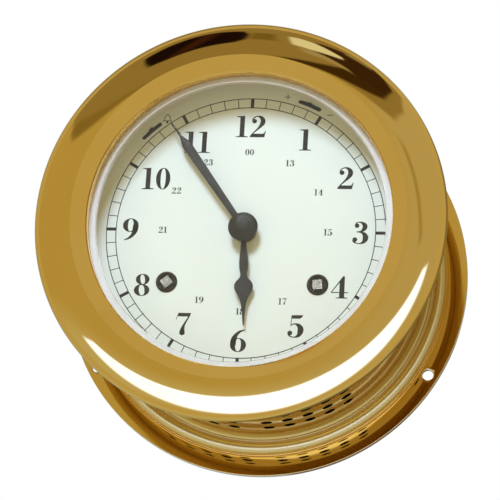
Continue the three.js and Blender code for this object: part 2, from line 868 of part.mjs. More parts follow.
function snailShape() {
  const points = [];
  for (let step = 0; step < snailSides; step += 1) {
    const radius = snailHigh - (snailHigh - snailLow) * (step / (snailSides - 1));
    const from = snailTurn + (step / snailSides) * 2 * Math.PI;
    const to = snailTurn + ((step + 1) / snailSides) * 2 * Math.PI;
    points.push(polar(radius, from), polar(radius, to));
  }
  const shape = outlined(points);
  shape.holes.push(roundPath(hourPipeInner, smallSides));
  return shape;
}

const hourWheel = extruded(toothedShape({
  teeth: hourTeeth,
  module: motionModule,
  phase: hourWheelPhase,
  bore: hourPipeInner,
}), hourWheelBack, hourWheelBack + wheelThickness);
const snail = extruded(snailShape(), hourWheelBack + wheelThickness - 0.1,
  hourWheelBack + wheelThickness + snailThickness);
const hourTube = ring(hourPipeInner, hourPipe, hourWheelBack - seatGap, hourHandFront, smallSides);
add('hour_wheel', join(hourWheel, snail, hourTube), plainBrass, centreAt);

// Hands: thin blackened plates on the pipes, the minute hand under a domed nut

function handOutline(halfWidths) {
  const edge = new THREE.SplineCurve(halfWidths.map(([along, half]) => new THREE.Vector2(along, half)));
  const upper = edge.getPoints(halfWidths.length * 2);
  return new THREE.Shape([...upper, ...upper.slice().reverse().map(({ x, y }) => new THREE.Vector2(x, -y))]);
}

function handSolid(halfWidths, boreRadius, back, turn) {
  const blade = extruded(handOutline(halfWidths), back, back + handThickness);
  const boss = disc(handBossRadius, back, back + handThickness, drumSides);
  const whole = cut(join(blade, boss), [disc(boreRadius, back - 1, back + handThickness + 1, smallSides)]);
  whole.rotateZ(turn);
  return whole;
}

const minuteHalfWidths = [
  [handBossRadius * 0.8, 1.2],
  [minuteHandRadius * 0.45, 1.5],
  [minuteHandRadius * 0.76, 1.8],
  [minuteHandRadius * 0.8, 1.5],
  [minuteHandRadius * 0.85, 0.6],
  [minuteHandRadius * 0.9, 0.4],
  [minuteHandRadius, 0.15],
];
const hourHalfWidths = [
  [handBossRadius * 0.8, 0.8],
  [hourHandRadius * 0.34, 1.65],
  [hourHandRadius * 0.47, 1.2],
  [hourHandRadius * 0.53, 2.3],
  [hourHandRadius * 0.59, 3.5],
  [hourHandRadius * 0.65, 2.9],
  [hourHandRadius * 0.72, 1.6],
  [hourHandRadius * 0.84, 0.6],
  [hourHandRadius, 0.15],
];
add('hour_hand', handSolid(hourHalfWidths, hourPipe + turningGap, hourHandBack, hourTurn), darkSteel);
add('minute_hand', handSolid(minuteHalfWidths, cannonPipe + turningGap, minuteHandBack, cannonTurn), darkSteel);

add('hand_nut', turned([
  [centreArborRadius + turningGap, handNutBack],
  [handNutRadius, handNutBack],
  [handNutRadius, handNutBack + handNutHeight * 0.35],
  [handNutRadius * 0.86, handNutBack + handNutHeight * 0.7],
  [handNutBoss, handNutBack + handNutHeight],
  [handNutBoss * 0.8, handNutBack + handNutHeight + handNutBossRise],
  [0, handNutBack + handNutHeight + handNutBossRise],
  [0, handNutBack + handNutThread + seatGap],
  [centreArborRadius + turningGap, handNutBack + handNutThread + seatGap],
  [centreArborRadius + turningGap, handNutBack],
], drumSides), darkSteel, centreAt);

// Striking train, rack striking work and the hammer

const strikeSecondPhase = meshPhase(firstPhase, barrelTeeth, leaves, bearing(strikeBarrelAt, strikeSecondAt));
const pinPhase = meshPhase(firstPhase, secondTeeth, leaves, bearing(strikeSecondAt, pinWheelAt));
const warningPhase = meshPhase(firstPhase, pinTeeth, leaves, bearing(pinWheelAt, warningAt));
const flyPhase = meshPhase(firstPhase, warningTeeth, leaves, bearing(warningAt, flyAt));
const pinCount = 8;
const pinCircle = 7;
const pinRadius = 0.55;
const pinFront = thirdWheelBack + wheelThickness + 2.6;

add('strike_second_wheel', wheelOnArbor({
  wheel: { teeth: secondTeeth, module: strikeSecondModule },
  wheelBack: secondWheelBack,
  pinion: { teeth: leaves, module: barrelModule, phase: strikeSecondPhase },
  pinionBack: firstPinionBack,
}), plainBrass, strikeSecondAt);

const pinAngles = Array.from({ length: pinCount }, (_, i) => i * 360 / pinCount);
add('pin_wheel', join(
  wheelOnArbor({
    wheel: { teeth: pinTeeth, module: pinModule },
    wheelBack: thirdWheelBack,
    pinion: { teeth: leaves, module: strikeSecondModule, phase: pinPhase },
    pinionBack: secondPinionBack,
  }),
  ...roundArray(disc(pinRadius, thirdWheelBack + 0.5, pinFront, 5), pinCircle, pinAngles),
), plainBrass, pinWheelAt);

add('warning_wheel', wheelOnArbor({
  wheel: { teeth: warningTeeth, module: warningModule },
  wheelBack: escapeWheelBack,
  pinion: { teeth: leaves, module: pinModule, phase: warningPhase },
  pinionBack: thirdWheelBack - leafMargin,
}), plainBrass, warningAt);

const flyVane = new THREE.BoxGeometry(flySpan, 0.6, flyHeight);
flyVane.translate(0, 0, escapeWheelBack + 2.6 + flyHeight / 2);
add('fly', join(
  arbor({}),
  welded(flyVane),
  extruded(toothedShape({ teeth: leaves, module: warningModule, phase: flyPhase, leaf: true }),
    escapeWheelBack - leafMargin, escapeWheelBack - leafMargin + leafLength),
), plainBrass, flyAt);

const rackThickness = 0.9;
const rackBack = hourWheelBack + wheelThickness + 0.15;
const rackTailAngle = -20;
const rackTailRadius = 1.2;
const rackTailAt = onCircle(snailHigh + rackTailRadius + 3.2, rackTailAngle);
const rackTailLength = 20;
const rackPivotAt = beyond(rackTailAt, rackTailLength, rackTailAngle - 90);
const rackRadius = 20;
const rackTeeth = 9;
const rackMiddle = 170;
const rackStep = 3;

function rackArc() {
  const points = [];
  const start = rackMiddle - (rackTeeth * rackStep) / 2;
  for (let tooth = 0; tooth < rackTeeth; tooth += 1) {
    points.push(polar(rackRadius - 1, (start + tooth * rackStep) * degree));
    points.push(polar(rackRadius, (start + (tooth + 0.9) * rackStep) * degree));
  }
  for (let tooth = rackTeeth; tooth >= 0; tooth -= 3) {
    points.push(polar(rackRadius - 3, (start + tooth * rackStep) * degree));
  }
  return outlined(points);
}

const rackTop = rackBack + rackThickness;
const rackTail = barShape([0, 0], [rackTailAt[0] - rackPivotAt[0], rackTailAt[1] - rackPivotAt[1]], rackTailRadius);
const rackArm = barShape([0, 0], polar(rackRadius - 2, rackMiddle * degree), rackTailRadius);
add('rack', cut(join(
  extruded(rackTail, rackBack, rackTop),
  extruded(rackArm, rackBack, rackTop),
  extruded(rackArc(), rackBack, rackTop),
  disc(2.4, rackBack, rackTop),
), [disc(studRadius + turningGap, rackBack - 1, rackTop + 1, screwSides)]), steel, rackPivotAt);

const hookAngle = 156;
const hookHalf = 0.9;
const hookLength = 12;
const hookTipAt = beyond(rackPivotAt, rackRadius + hookHalf + 0.45, hookAngle);
const hookPivotAt = beyond(hookTipAt, hookLength, hookAngle + 90);
const hookBar = barShape([0, 0], [hookTipAt[0] - hookPivotAt[0], hookTipAt[1] - hookPivotAt[1]], hookHalf);
add('rack_hook', cut(join(
  extruded(hookBar, rackBack, rackTop),
  disc(2.2, rackBack, rackTop),
), [disc(studRadius + turningGap, rackBack - 1, rackTop + 1, screwSides)]), steel, hookPivotAt);

// Bell: a spun cup on a post behind the movement, struck on its rim by the hammer

const bellHole = 1.9;
const bellFront = bellBack + bellDepth;

function bellProfile() {
  const outer = [];
  const inner = [];
  const steps = 4;
  for (let i = 0; i <= steps; i += 1) {
    const turn = (i / steps) * Math.PI / 2;
    const radius = bellHole + (bellRadius - bellHole) * Math.sin(turn);
    const height = bellBack + bellDepth * (1 - Math.cos(turn));
    outer.push([radius, height]);
    const innerRadius = bellHole + (bellRadius - bellWall - bellHole) * Math.sin(turn);
    inner.push([innerRadius, bellBack + bellWall + (bellDepth - bellWall) * (1 - Math.cos(turn))]);
  }
  return [...outer, ...inner.reverse(), outer[0]];
}

add('bell', turned(bellProfile(), drumSides), steel, bellAt);

const postRadius = 2.6;
const postStud = 1.5;
const postHead = 4;
add('bell_post', turned([
  [0, bellBack - 1.6],
  [postHead, bellBack - 1.6],
  [postHead, bellBack - seatGap],
  [postStud, bellBack - seatGap],
  [postStud, bellBack + bellWall + seatGap],
  [postRadius, bellBack + bellWall + seatGap],
  [postRadius, movementBack - seatGap],
  [postStud, movementBack - seatGap],
  [postStud, backPlateFront - 0.2],
  [0, backPlateFront - 0.2],
], smallSides), steel, bellAt);

const headGap = 0.6;
const headAngle = 165;
const hammerHeadAt = beyond(bellAt, bellRadius + headGap + hammerHeadRadius, headAngle);
const headBack = bellFront - 7;
const headFront = bellFront - 0.5;
const toHead = [hammerHeadAt[0] - hammerAt[0], hammerHeadAt[1] - hammerAt[1]];
const tailDirection = bearing(hammerAt, pinWheelAt);
const tailLength = Math.hypot(pinWheelAt[0] - hammerAt[0], pinWheelAt[1] - hammerAt[1]) - pinCircle - pinRadius - 1.5;
const hammerTail = barShape([0, 0], polar(tailLength, tailDirection), 1);
add('hammer', join(
  turned([
    [0, headBack + 1],
    [arborRadius, headBack + 1],
    [arborRadius, frontPlateBack - seatGap],
    [pivotRadius, frontPlateBack - seatGap],
    [pivotRadius, frontPlateFront - plateThickness * 0.3],
    [0, frontPlateFront - plateThickness * 0.3],
  ], screwSides),
  extruded(barShape([0, 0], toHead, 1.1), headBack + 2, headBack + 4),
  moved(disc(hammerHeadRadius, headBack, headFront), ...toHead),
  extruded(hammerTail, pinFront - 2, pinFront - 0.6),
), steel, hammerAt);

// Levers through the dial: strike or silent, and the regulator

const leverThickness = 1;
const leverBack = frontPlateFront + 2.4;
const tabWidth = 1.6;
const tabDepth = 1;
const leverHoleRadius = studRadius + turningGap;

function dialLever(angleDegrees) {
  const reach = leverCircle - leverPivotCircle;
  const bar = extruded(barShape([0, 0], [reach, 0], 1.3), leverBack, leverBack + leverThickness);
  const height = dialFront + 1.2 - leverBack;
  const tab = new THREE.BoxGeometry(tabDepth, tabWidth, height);
  tab.translate(reach, 0, leverBack + height / 2);
  const eye = disc(2.4, leverBack, leverBack + leverThickness);
  const drill = disc(leverHoleRadius, leverBack - 1, leverBack + leverThickness + 1, screwSides);
  const lever = cut(join(bar, eye, welded(tab)), [drill]);
  lever.rotateZ(angleDegrees * degree);
  return lever;
}

add('strike_silent_lever', dialLever(silentLeverAngle), plainBrass, silentPivotAt);
add('regulator_lever', dialLever(regulatorLeverAngle), plainBrass, regulatorPivotAt);

// Movement frame: two round plates, the back one with pillars and three lugs to the case

const pivotHole = pivotRadius + turningGap;
const wheelArbors = [goingSecondAt, thirdAt, fourthAt, escapeAt, palletAt, strikeSecondAt, pinWheelAt,
  warningAt, flyAt];
const footCircle = 50;
const footAngles = [350, 140, 240];
const footRadius = 1.2;

function plateShape(holes) {
  const shape = new THREE.Shape().setFromPoints(roundPath(plateRadius, roundSides).getPoints());
  holes.forEach(([at, radius, sides]) => shape.holes.push(roundPath(radius, sides, at)));
  return shape;
}

const backPlateShape = plateShape([
  ...[...wheelArbors, centreAt, balanceAt].map((at) => [at, pivotHole, pivotSides]),
  [goingBarrelAt, windingArborRadius * 0.7 + turningGap, smallSides],
  [strikeBarrelAt, windingArborRadius * 0.7 + turningGap, smallSides],
  [hammerAt, arborRadius + turningGap, screwSides],
  [bellAt, postStud + turningGap, smallSides],
]);
const pillar = join(
  disc(pillarRadius, backPlateFront - 0.5, frontPlateBack - seatGap),
  disc(pillarStudRadius, frontPlateBack - 1, frontPlateFront + 2.6, screwSides),
);
const lugHalf = lugWidth / 2;
const lugReach = wallInner - seatGap;
const lugCorner = Math.sqrt(lugReach * lugReach - lugHalf * lugHalf);
const lug = extruded(outlined([
  [lugInner, -lugHalf],
  [lugCorner, -lugHalf],
  [lugReach, 0],
  [lugCorner, lugHalf],
  [lugInner, lugHalf],
]), movementBack - lugDepth, backPlateFront);

function radialRod(radius, from, to) {
  const rod = new THREE.CylinderGeometry(radius, radius, to - from, screwSides);
  rod.rotateZ(Math.PI / 2);
  rod.translate((from + to) / 2, 0, sideScrewHeight);
  return welded(rod);
}

const screwInner = wallInner - sideScrewReach;
const screwBore = radialRod(sideScrewRadius + turningGap, screwInner - seatGap, wallRadius);
add('movement_back_plate', cut(join(
  extruded(backPlateShape, movementBack, backPlateFront),
  ...roundArray(pillar, pillarCircle, pillarAngles),
  ...fixingAngles.map((angle) => moved(lug, 0, 0, angle * degree)),
), fixingAngles.map((angle) => moved(screwBore, 0, 0, angle * degree))), plainBrass);

const sideScrew = join(
  radialRod(sideScrewRadius, screwInner, wallInner + 1),
  radialRod(sideScrewHoleRadius - turningGap, wallRadius - 1 - sideScrewHeadDepth, wallRadius - 1),
);
fixingAngles.forEach((angle, i) => {
  add(`case_side_screw_${i + 1}`, moved(sideScrew, 0, 0, angle * degree), darkSteel);
});

const studs = [
  [minuteWheelAt, hourWheelBack + wheelThickness + 0.8],
  [beyond(goingBarrelAt, clickPivotDistance, 90), ratchetBack + ratchetThickness],
  [beyond(strikeBarrelAt, clickPivotDistance, 90), ratchetBack + ratchetThickness],
  [rackPivotAt, rackTop + 0.3],
  [hookPivotAt, rackTop + 0.3],
  [silentPivotAt, leverBack + leverThickness + 0.4],
  [regulatorPivotAt, leverBack + leverThickness + 0.4],
];
const frontPlateShape = plateShape([
  ...[...wheelArbors, hammerAt].map((at) => [at, pivotHole, pivotSides]),
  [centreAt, centreArborRadius + turningGap, smallSides],
  [balanceAt, staffHoleRadius, screwSides],
  [goingBarrelAt, windingArborRadius + turningGap, smallSides],
  [strikeBarrelAt, windingArborRadius + turningGap, smallSides],
  ...pillarAngles.map((angle) => [onCircle(pillarCircle, angle), pillarStudRadius + turningGap, screwSides]),
  ...footAngles.map((angle) => [onCircle(footCircle, angle), footRadius + turningGap, screwSides]),
]);
add('movement_front_plate', join(
  extruded(frontPlateShape, frontPlateBack, frontPlateFront),
  ...studs.map(([at, top]) => moved(disc(studRadius, frontPlateFront - 0.5, top, screwSides), ...at)),
), plainBrass);

pillarAngles.forEach((angle, i) => {
  add(`pillar_nut_${i + 1}`, ring(pillarStudRadius + turningGap, pillarRadius, frontPlateFront + seatGap,
    frontPlateFront + 2, screwSides), steel, onCircle(pillarCircle, angle));
});

// Dial: a painted disc on three feet, with its winding holes and two lever slots

function slotPath(angleDegrees) {
  const path = new THREE.Path();
  const steps = 5;
  const half = leverSlotSpan / 2;
  const points = [];
  for (let i = 0; i <= steps; i += 1) {
    points.push(onCircle(leverCircle + leverSlotWidth / 2, angleDegrees - half + leverSlotSpan * (i / steps)));
  }
  for (let i = steps; i >= 0; i -= 1) {
    points.push(onCircle(leverCircle - leverSlotWidth / 2, angleDegrees - half + leverSlotSpan * (i / steps)));
  }
  path.setFromPoints(points.map(([x, y]) => new THREE.Vector2(x, y)));
  path.closePath();
  return path;
}

const dialRadius = wallInner - dialEdgeGap;
const dialShape = new THREE.Shape().setFromPoints(roundPath(dialRadius, roundSides).getPoints());
dialShape.holes.push(roundPath(hourPipe + 1, drumSides));
dialShape.holes.push(roundPath(windingHoleRadius, drumSides, goingBarrelAt));
dialShape.holes.push(roundPath(windingHoleRadius, drumSides, strikeBarrelAt));
dialShape.holes.push(slotPath(silentLeverAngle), slotPath(regulatorLeverAngle));
const footEnd = frontPlateFront - pivotEntry;
add('dial', join(
  extruded(dialShape, dialBack, dialFront),
  ...roundArray(disc(footRadius, footEnd, dialBack + 0.4, screwSides), footCircle, footAngles),
), whitePaint);

const grommetNeck = windingHoleRadius - turningGap;
const grommetInner = grommetNeck - grommetWall;
const grommet = turned([
  [grommetInner, dialBack],
  [grommetNeck, dialBack],
  [grommetNeck, dialFront + seatGap],
  [grommetNeck + grommetLip, dialFront + seatGap],
  [grommetNeck, dialFront + seatGap + grommetWall],
  [grommetInner, dialFront + seatGap + grommetWall],
  [grommetInner, dialBack],
], smallSides);
add('going_winding_grommet', grommet.clone(), plainBrass, goingBarrelAt);
add('strike_winding_grommet', grommet.clone(), plainBrass, strikeBarrelAt);

// Bezel: a heavy rounded ring screwed over the case, carrying the bevelled glass

const gasketBack = glassBack - seatGap - gasketThickness;
const retainerBack = gasketBack - seatGap - retainerThickness;
const glassPocket = glassRadius + turningGap * 2;

function bezelProfile() {
  const outer = [];
  const steps = 5;
  for (let i = 1; i <= steps; i += 1) {
    const turn = (i / steps) * Math.PI / 2;
    outer.push([
      bezelCrestRadius + (bezelRadius - bezelCrestRadius) * Math.sin(turn),
      bezelLimbHeight + (bezelCrestHeight - bezelLimbHeight) * Math.cos(turn),
    ]);
  }
  return [
    [bezelLipRadius, lipBack],
    [bezelLipRadius + 0.65, caseDepth],
    [bezelLipRadius + 4, caseDepth + bezelCrestRise * 0.62],
    [bezelCrestRadius, bezelCrestHeight],
    ...outer,
    [bezelRadius - 0.9, bezelLimbHeight - 3.2],
    [bezelSkirtRadius + 2.4, bezelSkirtHeight + 1.5],
    [bezelSkirtRadius, bezelSkirtHeight],
    [wallRadius + turningGap, bezelSkirtHeight],
    [wallRadius + turningGap, caseDepth + seatGap],
    [wallInner - turningGap, caseDepth + seatGap],
    [wallInner - turningGap, retainerBack],
    [glassPocket, retainerBack],
    [glassPocket, lipBack],
    [bezelLipRadius, lipBack],
  ];
}

add('bezel_ring', turned(bezelProfile()), polishedBrass);
const bevelInner = bezelLipRadius - glassBevelWidth;
add('glass', turned([
  [0, glassBack],
  [glassRadius, glassBack],
  [glassRadius, glassEdgeFront],
  [bezelLipRadius - 0.4, glassEdgeFront],
  [bevelInner, glassEdgeFront + glassRise],
  [0, glassEdgeFront + glassRise],
]), clearGlass);
add('glass_gasket', ring(glassRadius - gasketWidth, glassRadius, gasketBack, glassBack - seatGap), blackRubber);
add('glass_retaining_ring', ring(bezelLipRadius - 0.4, glassRadius + seatGap, retainerBack,
  gasketBack - seatGap), plainBrass);

const upright = new THREE.Group();
clock.rotation.x = Math.PI / 2;
upright.add(clock);
export default upright;
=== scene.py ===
"""Looks of the ship's bell clock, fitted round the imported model.

Sizes are millimetres in the clock's own directions: x to three o'clock, y to twelve
o'clock, z from the wall to the reader. The function stood() turns them into the frame.
"""
import json
import math

import bmesh
import bpy
from mathutils import Matrix, Vector
from mathutils.geometry import tessellate_polygon


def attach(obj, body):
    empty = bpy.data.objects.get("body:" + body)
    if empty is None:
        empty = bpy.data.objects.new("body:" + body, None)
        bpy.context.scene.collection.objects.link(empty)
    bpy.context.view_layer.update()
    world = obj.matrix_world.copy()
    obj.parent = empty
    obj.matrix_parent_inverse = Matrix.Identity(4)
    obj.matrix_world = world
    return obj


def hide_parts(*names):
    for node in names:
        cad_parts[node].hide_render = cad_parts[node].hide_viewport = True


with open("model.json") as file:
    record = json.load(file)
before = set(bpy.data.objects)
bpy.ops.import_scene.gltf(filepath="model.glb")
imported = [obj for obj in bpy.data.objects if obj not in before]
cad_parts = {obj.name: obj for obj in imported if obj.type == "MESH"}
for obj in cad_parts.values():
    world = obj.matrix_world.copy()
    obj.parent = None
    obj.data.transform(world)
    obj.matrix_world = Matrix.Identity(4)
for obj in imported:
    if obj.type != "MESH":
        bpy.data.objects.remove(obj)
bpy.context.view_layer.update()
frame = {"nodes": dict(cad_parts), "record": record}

# Case: wall, flange and their holes
WALL_RADIUS = 66
WALL_THICKNESS = 2.6
CASE_DEPTH = 84
FLANGE_RADIUS = 81.8
FLANGE_THICKNESS = 3.2
DISH_RADIUS = 80
COVER_SEAT_RADIUS = 68.4
COVER_SEAT_DEPTH = 2.5
FIXING_CIRCLE = 77.6
FIXING_HOLE_RADIUS = 2.25
FIXING_HOLE_FLARE = 0.3
FIXING_ANGLES = (90, 210, 330)
COVER_SCREW_CIRCLE = 65.9
COVER_SCREW_HOLE_RADIUS = 1.4
COVER_SCREW_HOLE_DEPTH = 4.4
COVER_SCREW_ANGLES = (30, 150, 270)
UNDERSIDE = 270
SOUND_HOLE_RADIUS = 2.25
SOUND_COLUMNS = [side * (6 + 7.2 * column) for column in range(5) for side in (-1, 1)]
SOUND_ROWS = (19.2, 27.6, 36)
SIDE_SCREW_HOLE_RADIUS = 1.9
SIDE_SCREW_HEIGHT = 27.55
WALL_HOLE_FLARE = 0.1
DRILL_RUN = 2

# Bezel: its face rises from the lip to the crest, the roll falls from there to the limb,
# and behind them are the hollow, the skirt outside the wall and the collar inside it
LIP_RADIUS = 57.7
LIP_BACK = 81.2
FACE_RADII = (58.1, 58.2, 58.4, 59, 60.5, 62, 63)
FACE_TILT = 36.3
CREST_RADIUS = 63.4
CREST_HEIGHT = 90
ROLL_RADIUS = 77.3
ROLL_START = 5.4
ROLL_END = 33.2
LIMB_END = 80
BEZEL_RADIUS = 78.15
BEZEL_BACK = 83.5
UNDER_RADIUS = 75.2
COVE_FOOT = (72.2, 78.6)
SKIRT_RADIUS = 71.4
SKIRT_FOOT = 77.6
WALL_GAP = 0.3
COLLAR_RADIUS = 61
COLLAR_OUTSIDE = 63.1
COLLAR_FOOT = 75.3

# Glass and dial
GLASS_RADIUS = 60.4
GLASS_BACK = 78
GLASS_EDGE_FRONT = 80.9
GLASS_FRONT = 82.2
BEVEL_OUTER = 57.9
BEVEL_INNER = 55.2
DIAL_BACK = 64.8
DIAL_FRONT = 66
DIAL_RADIUS = 62.7
DIAL_FOOT_CIRCLE = 50
DIAL_FOOT_RADIUS = 1.2
DIAL_FOOT_BACK = 55.92
DIAL_FOOT_ANGLES = (350, 140, 240)
CENTRE_HOLE_RADIUS = 4.6
WINDING_HOLE_RADIUS = 3.9
ARBOR_X = 28.9
ARBOR_Y = -20.8
LEVER_CIRCLE = 56
LEVER_ANGLES = (134, 66.4)
LEVER_SLOT_SPAN = 8.2
LEVER_SLOT_HALF_WIDTH = 0.9

# Print: its ink sinks a hundredth into the dial, so that no gap shows
PRINT_BACK = DIAL_FRONT - 0.01
PRINT_FRONT = DIAL_FRONT + 0.025
TRACK_INSIDE = 50
TRACK_OUTSIDE = 53.7
TRACK_LINE = 0.17
HOUR_HEIGHT = 8.7
HOUR_PLACES = {12: 42.3, 1: 42.8, 2: 43.4, 3: 44.2, 4: 43.2, 5: 42.8,
               6: 43.2, 7: 42.9, 8: 44.2, 9: 44.4, 10: 41.3, 11: 41.2}
SMALL_HOURS = (0, 13, 14, 15, 17, 18, 19, 21, 22, 23)
SMALL_HOUR_CIRCLE = 31.8
SMALL_HOUR_HEIGHT = 2.5
SIGN_CIRCLE = 56.2
MINUS_ANGLE = 57.2
PLUS_ANGLE = 75.9
BELL_SIGN_ANGLE = 126

# Hands, at about six minutes to six
HAND_BOSS_RADIUS = 5
HAND_THICKNESS = 0.6
HOUR_HAND_BACK = 68.6
HOUR_HAND_BORE = 3.6
HOUR_TURN = 90 - (5 + 54 / 60) * 30
MINUTE_HAND_BACK = 70.4
MINUTE_HAND_BORE = 2.5
MINUTE_TURN = 90 - 54 * 6
NUT_BACK = 71.3
NUT_BORE = 1.6

# Sides of a circle: of the case, bezel, glass and dial, of an eyelet or nut, and of a small hole
FINE = 288
ROUND = 96
SMALL = 48


# Placing and making meshes

def stood(x, y, z):
    """A place in the clock's own directions, in mm, as a place in the frame, in metres."""
    return (x / 1000, -z / 1000, y / 1000)


def on_circle(radius, degrees):
    return radius * math.cos(math.radians(degrees)), radius * math.sin(math.radians(degrees))


def circle(radius, sides=ROUND, at=(0, 0)):
    turns = [2 * math.pi * k / sides for k in range(sides)]
    return [(at[0] + radius * math.cos(turn), at[1] + radius * math.sin(turn)) for turn in turns]


def turned_about(points, degrees):
    c, s = math.cos(math.radians(degrees)), math.sin(math.radians(degrees))
    return [(x * c - y * s, x * s + y * c) for x, y in points]


def bowed(start, control, end, steps):
    """Points of a smooth bow from start to end, pulled towards control."""
    a, b, c = Vector(start), Vector(control), Vector(end)
    return [tuple(a * (1 - t) ** 2 + b * 2 * t * (1 - t) + c * t ** 2)
            for t in (step / steps for step in range(steps + 1))]


def eased(points):
    """A profile with its corners rounded: each point is (radius, height) or (radius, height, rounding)."""
    out = []
    for i, (radius, height, *rounding) in enumerate(points):
        here = Vector((radius, height))
        if not rounding:
            out.append(tuple(here))
            continue
        before, after = (Vector(points[(i + step) % len(points)][:2]) - here for step in (-1, 1))
        reach = min(rounding[0], before.length * 0.49, after.length * 0.49)
        out += bowed(here + before.normalized() * reach, here, here + after.normalized() * reach, 4)
    return out


def through(points, steps):
    """Points of a smooth curve that passes through all the given ones."""
    ends = [points[0], *points, points[-1]]
    line = []
    for i in range(1, len(ends) - 2):
        p = [Vector(ends[i + k]) for k in (-1, 0, 1, 2)]
        for step in range(steps):
            t = step / steps
            line.append(0.5 * (2 * p[1] + (p[2] - p[0]) * t
                               + (2 * p[0] - 5 * p[1] + 4 * p[2] - p[3]) * t * t
                               + (3 * p[1] - p[0] - 3 * p[2] + p[3]) * t ** 3))
    return line + [Vector(points[-1])]


def spun(mesh, profile, sides=FINE, at=(0, 0)):
    """Adds to a bmesh the closed ring or disc that the profile sweeps round a line along z through at."""
    on_axis = 1e-6
    rings = []
    for radius, height in profile:
        around = circle(radius, sides, at) if radius >= on_axis else [at]
        rings.append([mesh.verts.new((x, y, height)) for x, y in around])
    closed = profile[0][0] >= on_axis
    for i in range(len(rings) if closed else len(rings) - 1):
        low, high = rings[i], rings[(i + 1) % len(rings)]
        if len(low) == 1 and len(high) == 1:
            continue
        for k in range(sides):
            ring = [low[k % len(low)], low[(k + 1) % len(low)], high[(k + 1) % len(high)], high[k % len(high)]]
            mesh.faces.new(list(dict.fromkeys(ring)))


def plate(mesh, outlines, back, front):
    """Adds to a bmesh a flat plate: the first outline is its edge, the others are its holes."""
    rims = [[[mesh.verts.new((x, y, z)) for x, y in outline] for z in (back, front)] for outline in outlines]
    flat = [[Vector((x, y, 0)) for x, y in outline] for outline in outlines]
    lows = [vert for low, _ in rims for vert in low]
    highs = [vert for _, high in rims for vert in high]
    for triangle in tessellate_polygon(flat):
        for verts in (lows, highs):
            mesh.faces.new([verts[i] for i in triangle])
    for low, high in rims:
        for k in range(len(low)):
            after = (k + 1) % len(low)
            mesh.faces.new([low[k], low[after], high[after], high[k]])


def linked(name, mesh):
    """Turns a bmesh into an object of the scene."""
    data = bpy.data.meshes.new(name)
    mesh.to_mesh(data)
    mesh.free()
    obj = bpy.data.objects.new(name, data)
    bpy.context.collection.objects.link(obj)
    return obj


def stand(name, mesh):
    """Turns a bmesh in the clock's mm into an object that stands in the frame."""
    for vert in mesh.verts:
        vert.co = stood(*vert.co)
    bmesh.ops.recalc_face_normals(mesh, faces=mesh.faces)
    return linked(name, mesh)


def settle(obj):
    """Turns an object's modifiers into its mesh."""
    shape = obj.evaluated_get(bpy.context.evaluated_depsgraph_get())
    data = bpy.data.meshes.new_from_object(shape)
    obj.modifiers.clear()
    obj.data = data


def smoothed(obj, crisp):
    """Shades a piece smooth up to the crisp angle, its large faces kept straight beside a rounded edge."""
    obj.data.shade_smooth()
    obj.data.set_sharp_from_angle(angle=math.radians(crisp))
    weigh = obj.modifiers.new("weigh", "WEIGHTED_NORMAL")
    weigh.keep_sharp = True
    settle(obj)


def piece(name, mesh, body, finish, replaces=(), crisp=32, edge=0):
    """Makes a finished piece of a bmesh: its edges broken by edge mm, smooth up to the crisp angle, on its body
    and in its slot."""
    obj = stand(name, mesh)
    if edge:
        bevel = obj.modifiers.new("edge", "BEVEL")
        bevel.width = edge / 1000
        bevel.segments = 2
        bevel.limit_method = "ANGLE"
        bevel.angle_limit = math.radians(40)
        bevel.use_clamp_overlap = True
        settle(obj)
    smoothed(obj, crisp)
    obj.data.materials.clear()
    obj.data.materials.append(finish)
    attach(obj, body)
    if replaces:
        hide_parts(*replaces)
    return obj


def drilled(obj, drill):
    """Cuts the closed shells of one bmesh, in the clock's mm, out of a piece."""
    tool = stand("drill", drill)
    cut = obj.modifiers.new("cut", "BOOLEAN")
    cut.operation = "DIFFERENCE"
    cut.solver = "EXACT"
    cut.object = tool
    settle(obj)
    bpy.data.objects.remove(tool)


# Finishes

def linear(code):
    """An sRGB hex colour as the linear colour that a shader takes."""
    parts = [int(code[i:i + 2], 16) / 255 for i in (1, 3, 5)]
    return (*[part / 12.92 if part <= 0.04045 else ((part + 0.055) / 1.055) ** 2.4 for part in parts], 1)


def add(tree, kind, inputs=None, stops=(), **settings):
    """Adds a node. An input is a value, or the socket or node that feeds it, a node by its first output. Stops
    are the (place, hex colour) pairs of a colour ramp, and settings are the node's own options."""
    made = tree.nodes.new("ShaderNode" + kind)
    for name, value in settings.items():
        setattr(made, name, value)
    for k, (place, code) in enumerate(stops):
        made.color_ramp.elements[k].position = place
        made.color_ramp.elements[k].color = linear(code)
    for name, value in (inputs or {}).items():
        if isinstance(value, bpy.types.Node):
            value = value.outputs[0]
        if isinstance(value, bpy.types.NodeSocket):
            tree.links.new(value, made.inputs[name])
        else:
            made.inputs[name].default_value = value
    return made


def new_finish(name):
    """Starts a material: gives it, its nodes, and the piece's own coordinates in millimetres."""
    finish = bpy.data.materials.new(name)
    finish.use_nodes = True
    tree = finish.node_tree
    tree.nodes.clear()
    own = add(tree, "TexCoord").outputs["Object"]
    return finish, tree, add(tree, "Mapping", {"Vector": own, "Scale": (1000, 1000, 1000)})


